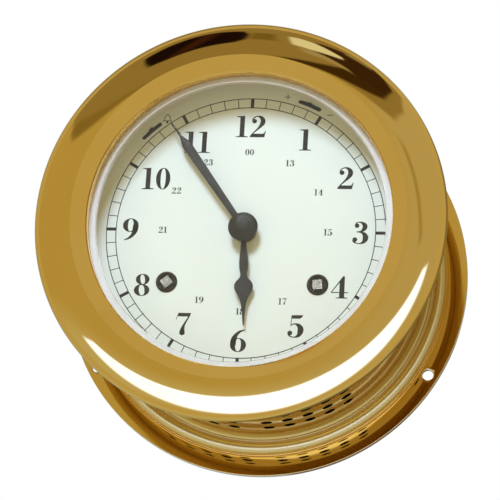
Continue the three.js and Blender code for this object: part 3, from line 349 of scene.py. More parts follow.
def metal(name, colours, roughness, line_mm, line_depth, cloud_mm, waves=0.0, zones=()):
    """A bare metal. Over clouds of cloud_mm its base colour drifts between two hex colours and its roughness
    between two values, and turning lines line_mm apart run round the clock's axis. A zone is (from, to,
    roughness, colours): its own finish between those two distances from the wall."""
    finish, tree, at = new_finish(name)
    clouds = add(tree, "TexNoise", {"Vector": at, "Scale": 1 / cloud_mm, "Detail": 3, "Roughness": 0.55})
    colour = add(tree, "ValToRGB", {"Fac": clouds}, [(0.3, colours[0]), (0.7, colours[1])])

    # turning lines: noise along the radius and the depth together, so that each line is a ring
    depth = add(tree, "SeparateXYZ", {"Vector": at}).outputs["Y"]
    flat = add(tree, "VectorMath", {0: at, 1: (1, 0, 1)}, operation="MULTIPLY")
    radius = add(tree, "VectorMath", {0: flat}, operation="LENGTH").outputs["Value"]
    along = add(tree, "Math", {0: radius, 1: depth}, operation="ADD")
    place = add(tree, "CombineXYZ", {"X": along, "Y": 0.5, "Z": 0.5})
    lines = add(tree, "TexNoise", {"Vector": place, "Scale": 1 / line_mm, "Detail": 2, "Roughness": 0.6})
    mixed = add(tree, "Math", {0: lines, 1: clouds}, operation="ADD")
    rough = add(tree, "MapRange", {"Value": mixed, "From Min": 0.7, "From Max": 1.3,
                                   "To Min": roughness[0], "To Max": roughness[1]})
    bump = add(tree, "Bump", {"Height": lines, "Strength": line_depth, "Distance": 0.00001})

    for near, far, zone_roughness, zone_colours in zones:
        above = add(tree, "MapRange", {"Value": depth, "From Min": -near - 0.2, "From Max": -near + 0.2,
                                       "To Min": 1.0, "To Max": 0.0})
        below = add(tree, "MapRange", {"Value": depth, "From Min": -far, "From Max": 0.5 - far})
        within = add(tree, "Math", {0: above, 1: below}, operation="MULTIPLY")
        rough = add(tree, "MapRange", {"Value": within, "To Min": rough, "To Max": zone_roughness})
        lined = add(tree, "ValToRGB", {"Fac": lines}, [(0.3, zone_colours[0]), (0.7, zone_colours[1])])
        colour = add(tree, "Mix", {0: within, 6: colour, 7: lined}, data_type="RGBA").outputs[2]

    if waves:
        # slow waves, about 9 mm long, that a buffing wheel leaves
        buffed = add(tree, "TexNoise", {"Vector": at, "Scale": 1 / 9, "Detail": 1, "Roughness": 0.55})
        bump = add(tree, "Bump", {"Height": buffed, "Strength": waves, "Distance": 0.0001, "Normal": bump})
    shader = add(tree, "BsdfPrincipled", {"Base Color": colour, "Roughness": rough, "Metallic": 1.0,
                                          "Normal": bump})
    add(tree, "OutputMaterial", {"Surface": shader})
    return finish


POLISHED = {"colours": ("#E5B64F", "#E8BA55"), "roughness": (0.035, 0.06), "line_mm": 0.12, "line_depth": 0.05,
            "cloud_mm": 40, "waves": 0.02}

# Brass, turned, polished to a mirror and lacquered: clear reflections, the lacquer only just soft
polished_brass = metal("polished_lacquered_brass", **POLISHED)

# The same brass on the bezel, its hollow back left as turned: the underside stays a dim brown
bezel_brass = metal("polished_brass_turned_back", **POLISHED,
                    zones=[(-1, BEZEL_BACK, 0.42, ("#D2A650", "#DDB35C"))])

# The same brass on the case, its moulding only brushed, which spreads the light into soft cream bands; moulding
# and wall coloured a little darker, the wall also less red: painted shade for the recess under the bezel
case_brass = metal("polished_brass_brushed_moulding_painted_shade", **POLISHED,
                   zones=[(3.35, 10, 0.38, ("#D6B04C", "#DCB654")),
                          (10, CASE_DEPTH, 0.055, ("#CBA746", "#D0AC4C"))])

# Brass, turned and grained: warm, its reflections drawn into a soft glow
grained_brass = metal("grained_brass", ("#C9A452", "#D6B264"), (0.24, 0.36), 0.18, 0.5, 12)

# Bronzed brass of the eyelets and the two levers: nearly black brown, a thin warm gleam on the rim
bronzed_brass = metal("bronzed_brass", ("#2E241A", "#44341F"), (0.3, 0.45), 0.15, 0.4, 2)

# Steel, filed and polished by hand: pale grey, short soft highlights
filed_steel = metal("filed_steel", ("#B4AFA4", "#CFCBC1"), (0.16, 0.3), 0.12, 0.5, 4)

# Steel, ground and oiled: mid grey
ground_steel = metal("ground_steel", ("#8E8C88", "#A9A7A2"), (0.26, 0.4), 0.15, 0.5, 8)

# Bell metal, turned and nickelled: bright and cool
nickelled_bell = metal("nickelled_bell_metal", ("#C6C4BD", "#D6D4CE"), (0.1, 0.18), 0.25, 0.4, 20)


def blackened_steel():
    """Steel blackened in hot oil: near black, brown where thin, a low sheen with a fine tooth."""
    finish, tree, at = new_finish("oil_blackened_steel")
    mottle = add(tree, "TexNoise", {"Vector": at, "Scale": 1 / 1.2, "Detail": 3, "Roughness": 0.55})
    colour = add(tree, "ValToRGB", {"Fac": mottle}, [(0.3, "#1C180F"), (0.7, "#2A2518")])
    rough = add(tree, "MapRange", {"Value": mottle, "To Min": 0.3, "To Max": 0.44})
    tooth = add(tree, "TexNoise", {"Vector": at, "Scale": 1 / 0.08, "Detail": 2, "Roughness": 0.55})
    bump = add(tree, "Bump", {"Height": tooth, "Strength": 0.1, "Distance": 0.00001})
    shader = add(tree, "BsdfPrincipled", {"Base Color": colour, "Roughness": rough, "Metallic": 0.25,
                                          "Specular IOR Level": 0.3, "Normal": bump})
    add(tree, "OutputMaterial", {"Surface": shader})
    return finish


def dial_paint():
    """White lacquer sprayed on brass: a pale greenish white, an orange-peel skin that catches little light."""
    finish, tree, at = new_finish("sprayed_white_lacquer")
    drift = add(tree, "TexNoise", {"Vector": at, "Scale": 1 / 30, "Detail": 1, "Roughness": 0.55})
    colour = add(tree, "ValToRGB", {"Fac": drift}, [(0.3, "#E9F1E6"), (0.7, "#ECF4E9")])
    peel = add(tree, "TexNoise", {"Vector": at, "Scale": 1 / 0.6, "Detail": 2, "Roughness": 0.55})
    rough = add(tree, "MapRange", {"Value": peel, "To Min": 0.42, "To Max": 0.5})
    bump = add(tree, "Bump", {"Height": peel, "Strength": 0.04, "Distance": 0.00002})
    shader = add(tree, "BsdfPrincipled", {"Base Color": colour, "Roughness": rough, "Specular IOR Level": 0.4,
                                          "Normal": bump})
    add(tree, "OutputMaterial", {"Surface": shader})
    return finish


def dial_ink():
    """Ink printed on the dial: brown-black, a little thin here and there, matt."""
    finish, tree, at = new_finish("pad_printed_black_ink")
    thin = add(tree, "TexNoise", {"Vector": at, "Scale": 1 / 0.5, "Detail": 3, "Roughness": 0.55})
    colour = add(tree, "ValToRGB", {"Fac": thin}, [(0.35, "#1A160E"), (0.7, "#231E14")])
    rough = add(tree, "MapRange", {"Value": thin, "To Min": 0.5, "To Max": 0.62})
    shader = add(tree, "BsdfPrincipled", {"Base Color": colour, "Roughness": rough, "Specular IOR Level": 0.15})
    add(tree, "OutputMaterial", {"Surface": shader})
    return finish


def clear_glass():
    """Float glass, coated so that it mirrors little; its bevel is ground, and there partly a white diffuse skin
    that the
    lamp lights: a painted highlight, a misty ring at the edge.
    Shadow and diffuse rays pass straight through, so that the dial behind it is lit."""
    finish, tree, at = new_finish("coated_float_glass_ground_bevel_painted_highlight")
    flat = add(tree, "VectorMath", {0: at, 1: (1, 0, 1)}, operation="MULTIPLY")
    radius = add(tree, "VectorMath", {0: flat}, operation="LENGTH").outputs["Value"]
    ground = add(tree, "MapRange", {"Value": radius, "From Min": BEVEL_INNER - 0.2,
                                    "From Max": BEVEL_INNER + 0.3, "To Min": 0.0, "To Max": 0.45})
    # painted highlight: on the bevel up to 40 in a hundred of the glass turns to a white diffuse skin that the
    # lamp lights
    clear = add(tree, "MapRange", {"Value": ground, "From Max": 0.45, "To Min": 1.0, "To Max": 0.6})
    drift = add(tree, "TexNoise", {"Vector": at, "Scale": 1 / 25, "Detail": 1, "Roughness": 0.55})
    tint = add(tree, "ValToRGB", {"Fac": drift}, [(0.3, "#FCFEFD"), (0.7, "#FDFEFD")])
    shader = add(tree, "BsdfPrincipled", {"Base Color": tint, "Roughness": ground, "IOR": 1.5,
                                          "Specular IOR Level": 0.2, "Transmission Weight": clear})
    passed = add(tree, "BsdfTransparent", {"Color": linear("#FBFCFB")})
    path = add(tree, "LightPath").outputs
    either = add(tree, "Math", {0: path["Is Shadow Ray"], 1: path["Is Diffuse Ray"]}, operation="MAXIMUM")
    both = add(tree, "MixShader", {0: either, 1: shader, 2: passed})
    add(tree, "OutputMaterial", {"Surface": both})
    return finish


def moulded_rubber():
    """Rubber, moulded, fully matt, dusty in its pores; painted light: its pale grey makes a bright ring behind
    the bevel.
    """
    finish, tree, at = new_finish("moulded_rubber_pale_painted_light")
    pores = add(tree, "TexNoise", {"Vector": at, "Scale": 1 / 0.4, "Detail": 3, "Roughness": 0.55})
    colour = add(tree, "ValToRGB", {"Fac": pores}, [(0.3, "#D3CFBD"), (0.75, "#DFDBCA")])
    bump = add(tree, "Bump", {"Height": pores, "Strength": 0.3, "Distance": 0.00002})
    shader = add(tree, "BsdfPrincipled", {"Base Color": colour, "Roughness": 0.8, "Normal": bump})
    add(tree, "OutputMaterial", {"Surface": shader})
    return finish


black_steel = blackened_steel()
white_lacquer = dial_paint()
black_ink = dial_ink()
glass_finish = clear_glass()
rubber = moulded_rubber()


# Camera: where the photograph was taken from, and how it was framed

CAMERA_PLACE = (0.1290, -0.9013, -0.2592)
CAMERA_RIGHT = (0.98947, 0.13291, 0.05734)
CAMERA_FORWARD = (-0.14383, 0.94738, 0.28597)
LENS_MM = 166.7
SENSOR_MM = 36


def photo_camera():
    data = bpy.data.cameras.new("camera")
    data.sensor_width = SENSOR_MM
    data.lens = LENS_MM
    data.clip_start = 0.01
    data.clip_end = 20
    cam = bpy.data.objects.new("camera", data)
    bpy.context.collection.objects.link(cam)
    forward = Vector(CAMERA_FORWARD)
    upward = Vector(CAMERA_RIGHT).cross(forward).normalized()
    right = forward.cross(upward).normalized()
    turn = Matrix((right, upward, -forward)).transposed().to_4x4()
    cam.matrix_world = Matrix.Translation(CAMERA_PLACE) @ turn
    bpy.context.scene.camera = cam


photo_camera()


# Studio: a pale floor, one soft lamp in front above, and a room that the metal can show

KEY_PLACE = (-0.085, -0.80, 0.49)
KEY_AIM = (0, -0.066, 0)
KEY_WIDTH = 0.25
KEY_WATTS = 8.1
KEY_COLOUR = (0.61, 0.73, 1.0)
AMBIENT = (0.63, 0.475, 0.19, 1)
FLOOR_HEIGHT = -0.45
FLOOR_HALF_WIDTH = 4
ROOM_BASE = (0.56, 0.53, 0.42, 1)

# What the metal sees of the room, each row over the one before: corners, rounds, softness in degrees, light
ROOM = [
    # right side, greyer, and what lies behind the clock
    ([(6, -60), (150, -60), (150, 120), (6, 120)], [], 14, (0.57, 0.60, 0.74)),
    ([], [(0, 0, -100)], 10, (0.44, 0.58, 0.80)),
    ([(70, -60), (260, -200), (260, 200), (70, 90)], [], 14, (0.27, 0.27, 0.26)),
    # light low down in front, dark beyond it and to the right
    ([(-90, -84), (40, -84), (40, -20), (-90, -10)], [], 12, (0.62, 0.70, 0.95)),
    ([(-40, -260), (260, -260), (260, -30), (70, -45), (30, -78), (-40, -100)], [], 9, (0.19, 0.20, 0.25)),
    # ceiling, with a darker moulding along its near left edge
    ([(-62, 52), (-57.5, 45.5), (-50, 38), (-18, 29), (0, 33), (20, 38), (33, 50), (38, 62), (34, 76), (14, 98),
      (-40, 98), (-66, 66)], [], 1.2, (0.335, 0.305, 0.25)),
    ([(-57, 44), (-50, 38.5), (-20, 30), (-16, 30), (-24, 34), (-54, 47)], [], 1.5, (0.27, 0.235, 0.13)),
    # dark beam that widens to the upper right, and a thin one far up
    ([(-7, 32.5), (-3, 32.5), (10, 39.5), (21.5, 46.5), (32.5, 60.5), (31, 67), (22, 62), (10.5, 51)], [],
     0.8, (0.055, 0.035, 0.015)),
    ([(4.5, 57.5), (12.5, 52), (24, 50), (32.5, 61), (31, 67), (26.5, 73.5), (8, 72.8)], [],
     1.0, (0.05, 0.028, 0.02)),
    ([(17, 71), (26, 69), (28, 77), (19, 80)], [], 1.2, (0.33, 0.33, 0.40)),
    ([(-12, 84), (10, 78), (32, 60), (40, 72), (20, 96), (-12, 98)],
     [(-8.6, 17.3, 76), (-8.6, 17.3, -70.0)], 0.8, (0.17, 0.13, 0.06)),
    # window, the light on its sill, and the dim strip beside it
    ([(1, 50), (12, 50), (12, 52), (4, 57), (1, 57)], [], 1.5, (0.42, 0.45, 0.62)),
    ([(-0.2, 59), (4.2, 58), (10, 60), (13.6, 61.8), (14.4, 64.2), (7.8, 70.2), (2.5, 72.5), (-0.2, 71.8)], [],
     0.7, (0.85, 1.1, 2.3)),
    ([(-10, 60), (-4, 60), (-4, 72.5), (-10, 72.5)], [], 1.5, (0.21, 0.18, 0.10)),
    # black panel left of it, with a brown batten
    ([(-39.2, 66.3), (-35.5, 59), (-30, 51), (-25, 50), (-12.5, 54.6), (-10.6, 60), (-10.6, 69.2), (-12.5, 75),
      (-20, 76.4), (-26.7, 75.2), (-34.2, 71)], [], 0.8, (0.012, 0.006, 0.012)),
    ([(-26, 52), (-22, 52), (-19, 74), (-24, 74)], [], 2, (0.05, 0.02, 0.02)),
    # a faint post on the right
    ([(14, 30), (28, 12), (31, 14), (19, 31)], [], 2, (0.42, 0.40, 0.33)),
    # ring that the dished face sees
    ([], [(-8.6, 17.3, 70.0), (-8.6, 17.3, -64.9)], 0.6, (0.61, 0.61, 0.62)),
    # softbox in front, low and wide, its far edge fading
    ([(-51.5, -16), (-51.5, -60), (50.5, -60), (50.5, 6.5)],
     [(-4, 3, 49.9, 1.7), (-10, 36, -60.0)], 1.1, (1.7, 2.6, 11.6)),
]


def window(tree, place, corners, rounds, soft):
    """1 inside a shape in the room, 0 outside. Corners are (right, up) in degrees from the clock's own axis,
    anticlockwise round a convex outline. Rounds are circles (right, up, radius) that the shape lies in, or with
    a minus radius, lies out of, and a fourth number makes a circle's edge that many times softer."""
    edges = []
    for i, corner in enumerate(corners):
        start, end = Vector(corner), Vector(corners[(i + 1) % len(corners)])
        along = (end - start).normalized()
        inward = Vector((-along.y, along.x))
        edges.append(add(tree, "VectorMath", {0: place, 1: (inward.x, inward.y, -inward.dot(start))},
                         operation="DOT_PRODUCT").outputs["Value"])
    for x, y, radius, *softer in rounds:
        away = add(tree, "VectorMath", {0: place, 1: (x, y, 1)}, operation="DISTANCE").outputs["Value"]
        slope = -math.copysign(1 / (softer[0] if softer else 1), radius)
        edges.append(add(tree, "Math", {0: away, 1: slope, 2: -slope * abs(radius)}, operation="MULTIPLY_ADD"))
    inside = edges[0]
    for edge in edges[1:]:
        inside = add(tree, "Math", {0: inside, 1: edge, 2: soft}, operation="SMOOTH_MIN")
    return add(tree, "MapRange", {"Value": inside, "From Min": -soft, "From Max": soft},
               interpolation_type="SMOOTHSTEP")


def studio():
    """The world: white to the camera, the room to shiny metal and glass, an even warm light to the rest."""
    world = bpy.data.worlds.new("studio")
    bpy.context.scene.world = world
    world.use_nodes = True
    tree = world.node_tree
    tree.nodes.clear()

    # a direction as (right, up, 1): degrees away from the clock's own axis, laid out flat
    way = add(tree, "SeparateXYZ", {"Vector": add(tree, "TexCoord").outputs["Generated"]}).outputs
    out = add(tree, "Math", {0: way["Y"], 1: -1}, operation="MULTIPLY")
    away = add(tree, "Math", {0: out}, operation="ARCCOSINE")
    away = add(tree, "Math", {0: away, 1: 180 / math.pi}, operation="MULTIPLY")
    flat = add(tree, "CombineXYZ", {"X": way["X"], "Y": way["Z"], "Z": 0.0})
    spread = add(tree, "VectorMath", {0: flat}, operation="LENGTH").outputs["Value"]
    spread = add(tree, "Math", {0: spread, 1: 1e-4}, operation="MAXIMUM")
    scale = add(tree, "Math", {0: away, 1: spread}, operation="DIVIDE")
    place = add(tree, "VectorMath", {0: flat, "Scale": scale}, operation="SCALE")
    place = add(tree, "VectorMath", {0: place, 1: (0, 0, 1)}, operation="ADD")

    colour = ROOM_BASE
    for corners, rounds, soft, light in ROOM:
        seen = window(tree, place, corners, rounds, soft)
        colour = add(tree, "Mix", {0: seen, 6: colour, 7: (*light, 1)}, data_type="RGBA").outputs[2]
    shown = add(tree, "Background", {"Color": colour, "Strength": 1.0})
    plain = add(tree, "Background", {"Color": linear("#FFFFFF"), "Strength": 1.0})
    ambient = add(tree, "Background", {"Color": AMBIENT, "Strength": 1.0})
    path = add(tree, "LightPath").outputs
    shiny = add(tree, "Math", {0: path["Is Glossy Ray"], 1: path["Is Transmission Ray"]}, operation="MAXIMUM")
    first = add(tree, "MixShader", {0: shiny, 1: ambient, 2: shown})
    both = add(tree, "MixShader", {0: path["Is Camera Ray"], 1: first, 2: plain})
    add(tree, "OutputWorld", {"Surface": both})


def key_lamp():
    """A soft disc of light, which the metal doesn't show, because the room has its own softbox."""
    data = bpy.data.lights.new("key", "AREA")
    data.shape = "DISK"
    data.size = KEY_WIDTH
    data.energy = KEY_WATTS
    data.color = KEY_COLOUR
    lamp = bpy.data.objects.new("key", data)
    bpy.context.collection.objects.link(lamp)
    lamp.location = KEY_PLACE
    lamp.rotation_euler = (Vector(KEY_AIM) - Vector(KEY_PLACE)).to_track_quat("-Z", "Y").to_euler()
    lamp.visible_glossy = False


def studio_floor():
    """Matt paint, its grain too fine to show: it takes the shadow, and looks white to camera and glass."""
    half = FLOOR_HALF_WIDTH
    mesh = bmesh.new()
    plate(mesh, [[(-half, -half), (half, -half), (half, half), (-half, half)]], -0.001, 0)
    floor = linked("studio_floor", mesh)
    floor.location = (0, 0, FLOOR_HEIGHT)
    finish, tree, at = new_finish("painted_studio_floor")
    grain = add(tree, "TexNoise", {"Vector": at, "Scale": 1 / 0.04, "Detail": 2, "Roughness": 0.55})
    colour = add(tree, "ValToRGB", {"Fac": grain}, [(0.3, "#F4F4F2"), (0.7, "#F8F8F6")])
    shader = add(tree, "BsdfPrincipled", {"Base Color": colour, "Roughness": 0.8, "Specular IOR Level": 0.1})
    pale = add(tree, "Emission", {"Color": linear("#FFFFFF"), "Strength": 1.0})
    path = add(tree, "LightPath").outputs
    shiny = add(tree, "Math", {0: path["Is Glossy Ray"], 1: path["Is Transmission Ray"]}, operation="MAXIMUM")
    seen = add(tree, "Math", {0: path["Is Camera Ray"], 1: shiny}, operation="MAXIMUM")
    share = add(tree, "Math", {0: seen, 1: 0.8}, operation="MULTIPLY")
    both = add(tree, "MixShader", {0: share, 1: shader, 2: pale})
    add(tree, "OutputMaterial", {"Surface": both})
    floor.data.materials.append(finish)
    floor.visible_glossy = False


studio()
key_lamp()
studio_floor()


# Case: wall, moulding and flange spun as one, then drilled

def case_profile():
    """Seat of the back cover, flange with a shallow dish, brushed moulding, wall."""
    bore = WALL_RADIUS - WALL_THICKNESS
    dish = [(DISH_RADIUS - 0.5 * step, FLANGE_THICKNESS - 0.0026 * step ** 2) for step in range(12)]
    moulding = [(74.3, 2.82), (74.1, 2.7, 0.1), (73.6, 2.7, 0.15), (73.45, 3.9, 0.2), (73.3, 5.2, 1.1),
                (71.3, 6.6, 1.0), (69.7, 6.35, 0.4), (69.35, 5.75, 0.2), (68.2, 5.75, 0.2), (67.9, 6.5, 0.5),
                (67.1, 7.0, 0.6), (WALL_RADIUS, 8.6, 0.9)]
    return eased([
        (bore, COVER_SEAT_DEPTH), (COVER_SEAT_RADIUS, COVER_SEAT_DEPTH, 0.15), (COVER_SEAT_RADIUS, 0, 0.2),
        (FLANGE_RADIUS, 0, 0.4), (FLANGE_RADIUS, FLANGE_THICKNESS, 0.3), *dish, *moulding,
        (WALL_RADIUS, CASE_DEPTH, 0.2), (bore, CASE_DEPTH),
    ])


def wall_drill(mesh, radius, degrees, height):
    """A drill through the case wall, flared where it meets the outside."""
    start = len(mesh.verts)
    skin = WALL_THICKNESS + DRILL_RUN
    wide = radius + 2.2 * WALL_HOLE_FLARE
    spun(mesh, [(0, 0), (radius, 0), (radius, skin - WALL_HOLE_FLARE), (wide, skin + WALL_HOLE_FLARE),
                (wide, skin + DRILL_RUN), (0, skin + DRILL_RUN)], SMALL)
    mesh.verts.ensure_lookup_table()
    c, s = math.cos(math.radians(degrees)), math.sin(math.radians(degrees))
    for vert in mesh.verts[start:]:
        x, y, z = vert.co
        out = WALL_RADIUS - WALL_THICKNESS - DRILL_RUN + z
        vert.co = (out * c - x * s, out * s + x * c, height + y)


def straighten(data):
    """Points the normals of the wall straight out and those of the flats along the axis, so that the faces
    between the drilled holes don't show."""
    normals = [tuple(corner.vector) for corner in data.corner_normals]
    for face in data.polygons:
        centre = Vector((face.center.x, face.center.z)).normalized()
        outward = centre.dot((face.normal.x, face.normal.z))
        for corner in face.loop_indices:
            if abs(face.normal.y) > 0.9999:
                normals[corner] = (0, math.copysign(1, face.normal.y), 0)
            elif abs(outward) > 0.9998:
                place = data.vertices[data.loops[corner].vertex_index].co
                out = Vector((place.x, 0, place.z)).normalized() * math.copysign(1, outward)
                normals[corner] = tuple(out)
    data.normals_split_custom_set(normals)


def build_case():
    mesh = bmesh.new()
    spun(mesh, case_profile())
    case = piece("case_shell", mesh, "case", case_brass, ["case_body"])
    drill = bmesh.new()
    for away in SOUND_COLUMNS:
        for height in SOUND_ROWS:
            wall_drill(drill, SOUND_HOLE_RADIUS, UNDERSIDE + away, height)
    wide = FIXING_HOLE_RADIUS + FIXING_HOLE_FLARE
    fixing = [(0, -1), (wide, -1), (wide, 0), (FIXING_HOLE_RADIUS, FIXING_HOLE_FLARE),
              (FIXING_HOLE_RADIUS, FLANGE_THICKNESS - FIXING_HOLE_FLARE), (wide, FLANGE_THICKNESS),
              (wide, FLANGE_THICKNESS + 1), (0, FLANGE_THICKNESS + 1)]
    for degrees in FIXING_ANGLES:
        wall_drill(drill, SIDE_SCREW_HOLE_RADIUS, degrees, SIDE_SCREW_HEIGHT)
        spun(drill, fixing, SMALL, on_circle(FIXING_CIRCLE, degrees))
    for degrees in COVER_SCREW_ANGLES:
        spun(drill, [(0, -1), (COVER_SCREW_HOLE_RADIUS, -1), (COVER_SCREW_HOLE_RADIUS, COVER_SCREW_HOLE_DEPTH),
                     (0, COVER_SCREW_HOLE_DEPTH)], SMALL, on_circle(COVER_SCREW_CIRCLE, degrees))
    drilled(case, drill)
    smoothed(case, 32)
    straighten(case.data)


build_case()


# Bezel: a heavy ring, its face dished towards the glass, its outer edge rolled over

def bezel_profile():
    """Dished face, a crisp crest, a roll that steepens outwards, a tight limb, and the hollow under it."""
    slope = math.tan(math.radians(FACE_TILT))
    face = [(radius, CREST_HEIGHT - (CREST_RADIUS - radius) * slope) for radius in (*FACE_RADII, CREST_RADIUS)]
    radius, height = face[-1]
    roll = []
    for step in range(1, 41):
        ahead = CREST_RADIUS + (ROLL_RADIUS - CREST_RADIUS) * step / 40
        tilt = ROLL_START + (ROLL_END - ROLL_START) * step / 40
        height -= (ahead - radius) * math.tan(math.radians(tilt))
        radius = ahead
        roll.append((radius, height))
    around = (BEZEL_RADIUS - radius) / (1 - math.sin(math.radians(ROLL_END)))
    middle = height - around * math.cos(math.radians(ROLL_END))
    limb = []
    for step in range(1, 19):
        tilt = math.radians(ROLL_END + (LIMB_END - ROLL_END) * step / 18)
        limb.append((BEZEL_RADIUS - around + around * math.sin(tilt), middle + around * math.cos(tilt)))
    back = limb[-1][1]
    under = bowed(limb[-1], (77.6, back - 0.4), (UNDER_RADIUS, back - 0.25), 8)[1:]
    cove = bowed(under[-1], (72.4, back - 0.5), COVE_FOOT, 8)[1:]
    outside, top = WALL_RADIUS + WALL_GAP, CASE_DEPTH + WALL_GAP
    inside = eased([
        cove[-1], (SKIRT_RADIUS, SKIRT_FOOT, 0.6), (outside, SKIRT_FOOT, 0.2), (outside, top),
        (COLLAR_OUTSIDE, top), (COLLAR_OUTSIDE, COLLAR_FOOT), (COLLAR_RADIUS, COLLAR_FOOT),
        (COLLAR_RADIUS, LIP_BACK), (LIP_RADIUS, LIP_BACK, 0.15), (LIP_RADIUS, face[0][1] - 0.5, 0.2), face[0],
    ])[1:-1]
    return face + roll + limb + under + cove + inside


mesh = bmesh.new()
spun(mesh, bezel_profile())
piece("bezel_shell", mesh, "bezel", bezel_brass, ["bezel_ring"], crisp=35)


# Glass: flat, bevelled at its edge

mesh = bmesh.new()
spun(mesh, eased([(0, GLASS_BACK), (GLASS_RADIUS, GLASS_BACK, 0.15), (GLASS_RADIUS, GLASS_EDGE_FRONT, 0.15),
                  (BEVEL_OUTER, GLASS_EDGE_FRONT, 0.1), (BEVEL_INNER, GLASS_FRONT, 0.35), (0, GLASS_FRONT)]))
piece("glass_pane", mesh, "bezel_glass", glass_finish, ["glass"], crisp=25)


# Dial: the painted plate, its eyelets, and what is printed on it

def curved_slot(degrees):
    """The outline of a lever's slot, which follows the dial's edge and is round at both ends."""
    ends = (degrees - LEVER_SLOT_SPAN / 2, degrees + LEVER_SLOT_SPAN / 2)
    out = []
    for side, (start, end) in ((1, ends), (-1, ends[::-1])):
        radius = LEVER_CIRCLE + side * LEVER_SLOT_HALF_WIDTH
        out += [on_circle(radius, start + (end - start) * k / 14) for k in range(15)]
        x, y = on_circle(LEVER_CIRCLE, end)
        cap = end if side == 1 else end + 180
        for k in range(1, 8):
            across, up = on_circle(LEVER_SLOT_HALF_WIDTH, cap + 180 * k / 8)
            out.append((x + across, y + up))
    return out


mesh = bmesh.new()
plate(mesh, [circle(DIAL_RADIUS, FINE), circle(CENTRE_HOLE_RADIUS),
             *[circle(WINDING_HOLE_RADIUS, ROUND, (x, ARBOR_Y)) for x in (ARBOR_X, -ARBOR_X)],
             *[curved_slot(degrees) for degrees in LEVER_ANGLES]], DIAL_BACK, DIAL_FRONT)
for degrees in DIAL_FOOT_ANGLES:
    spun(mesh, [(0, DIAL_FOOT_BACK), (DIAL_FOOT_RADIUS, DIAL_FOOT_BACK), (DIAL_FOOT_RADIUS, DIAL_BACK + 0.3),
                (0, DIAL_BACK + 0.3)], SMALL, on_circle(DIAL_FOOT_CIRCLE, degrees))
piece("dial_plate", mesh, "case", white_lacquer, ["dial"], edge=0.12)


for side, x in (("going", ARBOR_X), ("strike", -ARBOR_X)):
    mesh = bmesh.new()
    spun(mesh, eased([(3.1, DIAL_BACK), (3.6, DIAL_BACK, 0.1), (3.6, DIAL_FRONT + 0.05, 0.05),
                      (4.15, DIAL_FRONT + 0.05, 0.1), (4.05, DIAL_FRONT + 0.45, 0.25),
                      (3.55, DIAL_FRONT + 0.8, 0.25), (3.1, DIAL_FRONT + 0.7, 0.3)]), ROUND, (x, ARBOR_Y))
    piece(f"{side}_eyelet", mesh, "case", bronzed_brass, [f"{side}_winding_grommet"])


# Numerals, drawn in units of their own height: discs, strokes of changing width, and flat shapes

def stroke(points):
    """The outline of a pen stroke: points are (x, y, half width), joined by a smooth curve."""
    line = through(points, 5)
    left, right = [], []
    for i, place in enumerate(line):
        ahead = line[min(i + 1, len(line) - 1)] - line[max(i - 1, 0)]
        side = Vector((-ahead.y, ahead.x)).normalized() * max(place.z, 0.004)
        left.append((place.x + side.x, place.y + side.y))
        right.append((place.x - side.x, place.y - side.y))
    return [left + right[::-1]]


def oval(cx, cy, half_x, half_y, power=2.0, lean=0.0):
    """An ellipse, squarer as power rises above 2, and slanted by lean."""
    out = []
    for x, y in circle(1, 40):
        across = math.copysign(abs(x) ** (2 / power), x) * half_x
        up = math.copysign(abs(y) ** (2 / power), y) * half_y
        out.append((cx + across + up * lean, cy + up))
    return out


def bowl(cx, cy, half_x, half_y, hole_x, hole_y, lean=0.0):
    """A ring with heavy sides and a thin top and foot."""
    return [oval(cx, cy, half_x, half_y), oval(cx, cy, hole_x, hole_y, power=2.3, lean=lean)]


